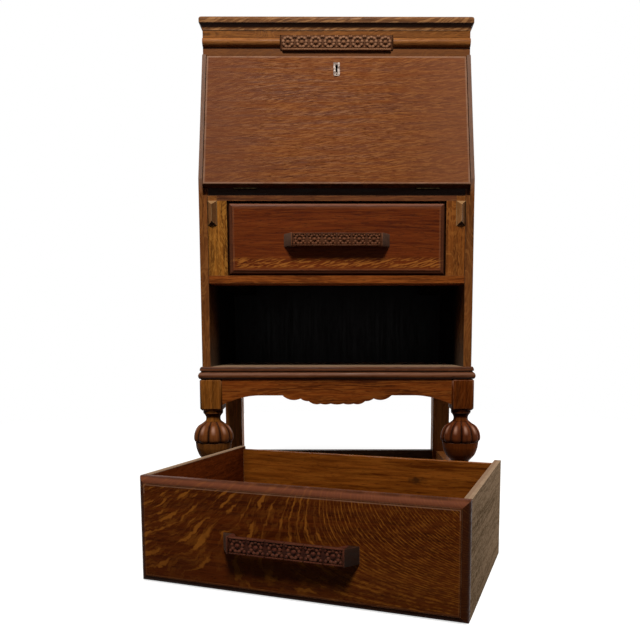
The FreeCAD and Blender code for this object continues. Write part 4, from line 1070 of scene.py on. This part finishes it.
def makeBar(name, half, reach, rise, settings):  # the bar and its two feet, sunk where the panels go
    ground, foot = settings["ground"], settings["foot"]
    gap = reach - settings["bar"]
    slant = settings["cant"] * gap / reach
    face = half - settings["cant"]
    end = face - settings["end"]
    sunk = end - settings["endSlope"]
    outline = [(-half, 0), (-face, -reach), (-end, -reach), (-sunk, -reach + ground), (sunk, -reach + ground),
               (end, -reach), (face, -reach), (half, 0), (half - foot, 0), (half - foot - slant, -gap),
               (-half + foot + slant, -gap), (-half + foot, 0)]
    tiny = 1e-6
    shape = bmesh.new()
    layer = hollowLayer(shape)
    lower = [shape.verts.new((x, y, -rise)) for x, y in outline]
    upper = [shape.verts.new((x, y, rise)) for x, y in outline]
    for vert in lower + upper:
        # painted shade on the sunk ground
        vert[layer] = settings["groundDark"] if abs(vert.co.y + reach - ground) < tiny else 0.0
    addWall(shape, lower, upper)
    shape.faces.new(lower)
    shape.faces.new(upper)
    bmesh.ops.recalc_face_normals(shape, faces=shape.faces[:])
    level = [side for side in shape.edges if abs(side.verts[0].co.z - side.verts[1].co.z) < tiny]
    bmesh.ops.bevel(shape, geom=level, offset=settings["ease"], segments=2, profile=0.5, affect="EDGES")
    return meshObject(name, shape)


def makePanel(rise, material, settings):  # a rosette between two rims, with a leaf in each corner
    shape = bmesh.new()
    half = (settings["pitch"] - settings["notch"]) / 2
    rim, inset = settings["rim"], settings["rimInset"]
    front, back = -settings["ground"] + inset, settings["rimSink"]
    for low, high in ((-rise + inset, -rise + rim + inset), (rise - rim - inset, rise - inset)):
        addBlock(shape, (-half, front, low), (half, back, high), settings["rimEase"])
    insetX, insetZ = settings["leafInset"]
    for side in (-1, 1):
        for end in (-1, 1):
            addDome(shape, (side * (half - insetX), 0, end * (rise - insetZ)), settings["leaf"])
    panel = meshObject("panel", shape)
    rosette = makeRosette(handleRosette, material)
    repeated(panel, rosette, 1, material)
    drop(rosette)
    return panel


def makeHandle(name, node, body, material, turn, settings):
    low, high = turnedBox(node, turn)
    centre = Vector(((low.x + high.x) / 2, high.y, (low.z + high.z) / 2))
    half, rise = halfSize((low, high))
    reach = high.y - low.y
    handle = makeBar(name, half, reach, rise, settings)
    panel = makePanel(rise, material, settings)
    pitch, count = settings["pitch"], settings["count"]
    first = (-(count - 1) / 2 * pitch, -reach + settings["ground"], 0)
    repeated(handle, panel, count, material, first=first, step=(pitch, 0, 0))
    drop(panel)
    handle.data.transform(turn @ Matrix.Translation(centre))
    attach(handle, body)
    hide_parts(node)


upright = Matrix.Identity(4)
makeHandle("upperHandle", "upper_drawer_handle", "upper_drawer", oak["oakHandleUpper"], upright, handleShape)
makeHandle("lowerHandle", "lower_drawer_handle", "lower_drawer", oak["oakHandleLower"], floorTurn,
           handleShape)
print("stage: handles")

# Pin under the keyhole
pinShape = {"radius": 0.0018, "height": 0.0009, "lift": 0.0042}


def makePin(node, body, material, turn, settings):
    low, high = turnedBox(node, turn)
    shape = bmesh.new()
    radius = settings["radius"]
    spot = ((low.x + high.x) / 2, low.y, low.z + settings["lift"])
    addDome(shape, spot, (radius, settings["height"], radius))
    pin = meshObject("escutcheonPin", shape)
    pin.data.materials.append(material)
    pin.data.transform(turn)
    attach(pin, body)


makePin("escutcheon", "fall", patinas["agedBrass"], fallTurn, pinShape)
print("stage: escutcheon pin")

# Camera at the photograph's place
cameraSettings = {
    "place": (0.01056, -1.40606, 0.4021),
    "pitch": -5.9866,
    "yaw": -0.2969,
    "roll": -0.0397,
    "lens": 37.9174,
    "shift": (-0.03596, 0.14892),
}


def makeCamera(settings):
    data = bpy.data.cameras.new("camera")
    data.sensor_width = 36.0
    data.lens = settings["lens"]
    data.shift_x, data.shift_y = settings["shift"]
    camera = bpy.data.objects.new("camera", data)
    camera.location = settings["place"]
    turn = Matrix.Rotation(math.radians(settings["yaw"]), 3, "Z")
    turn @= Matrix.Rotation(math.radians(90 + settings["pitch"]), 3, "X")
    turn @= Matrix.Rotation(math.radians(settings["roll"]), 3, "Z")
    camera.rotation_euler = turn.to_euler()
    scene.collection.objects.link(camera)
    scene.camera = camera


# Lamps: a large soft one above the front, a weak one from the right
lampSettings = {
    "key": {"place": (-0.15, -1.9, 3.35), "aim": (0.0, 0.1, 0.6), "size": (0.9, 0.7), "power": 136.0,
            "colour": (1.0, 0.97, 0.93)},
    "fill": {"place": (2.3, 0.5, 0.9), "aim": (0.15, -0.3, 0.15), "size": (1.0, 1.0), "power": 26.0,
             "colour": (1.0, 0.96, 0.9)},
}


def makeLamp(name, settings):
    data = bpy.data.lights.new(name, "AREA")
    data.shape = "RECTANGLE"
    data.size, data.size_y = settings["size"]
    data.energy = settings["power"]
    data.color = settings["colour"]
    lamp = bpy.data.objects.new(name, data)
    lamp.location = settings["place"]
    lamp.rotation_euler = (Vector(settings["aim"]) - lamp.location).to_track_quat("-Z", "Y").to_euler()
    scene.collection.objects.link(lamp)


# White studio: a pale floor that clears to white away from the desk
stageSettings = {"ambient": 0.015, "floorRadius": 2.6, "floorShown": 0.5, "bounce": 0.06,
                 "clearFrom": 0.75, "clearTo": 1.5, "lift": 0.72}


def showsStage(tree):  # one for rays that should see the white studio
    path = addNode(tree, "ShaderNodeLightPath").outputs
    kinds = ("Is Camera Ray", "Is Glossy Ray", "Is Transmission Ray")
    camera, glossy, through = (Wire(tree, path[kind]) for kind in kinds)
    return maths("MAXIMUM", maths("MAXIMUM", camera, glossy), through)


def makeWorld(settings):
    world = bpy.data.worlds.new("studio")
    scene.world = world
    world.use_nodes = True
    tree = world.node_tree
    background = tree.nodes["Background"]
    background.inputs["Color"].default_value = (1, 1, 1, 1)
    ambient = settings["ambient"]
    feed(background.inputs["Strength"], showsStage(tree) * (1.0 - ambient) + ambient)


def makeFloor(settings):
    mesh = bpy.data.meshes.new("floor")
    shape = bmesh.new()
    bmesh.ops.create_circle(shape, cap_ends=True, segments=96, radius=settings["floorRadius"])
    shape.to_mesh(mesh)
    shape.free()
    floor = bpy.data.objects.new("floor", mesh)
    floor.location = (0, 0, cadBox[0].z)
    scene.collection.objects.link(floor)
    material = bpy.data.materials.new("paleFloor")
    material.use_nodes = True
    tree = material.node_tree
    tree.nodes.clear()
    shown = showsStage(tree)
    level = shown * (settings["floorShown"] - settings["bounce"]) + settings["bounce"]
    diffuse = build("ShaderNodeBsdfDiffuse", {"Color": combine(level, level, level)})
    reach = vectorMaths("LENGTH", source(tree, "ShaderNodeTexCoord", "Object"))
    clear = spread(reach, settings["clearFrom"], settings["clearTo"], settings["lift"], 1.0)
    white = build("ShaderNodeEmission", {"Strength": shown * clear})
    both = build("ShaderNodeAddShader", {0: diffuse, 1: white})
    feed(addNode(tree, "ShaderNodeOutputMaterial").inputs["Surface"], both)
    mesh.materials.append(material)


makeCamera(cameraSettings)
for name, settings in lampSettings.items():
    makeLamp(name, settings)
makeWorld(stageSettings)
makeFloor(stageSettings)
print("stage: camera and light")
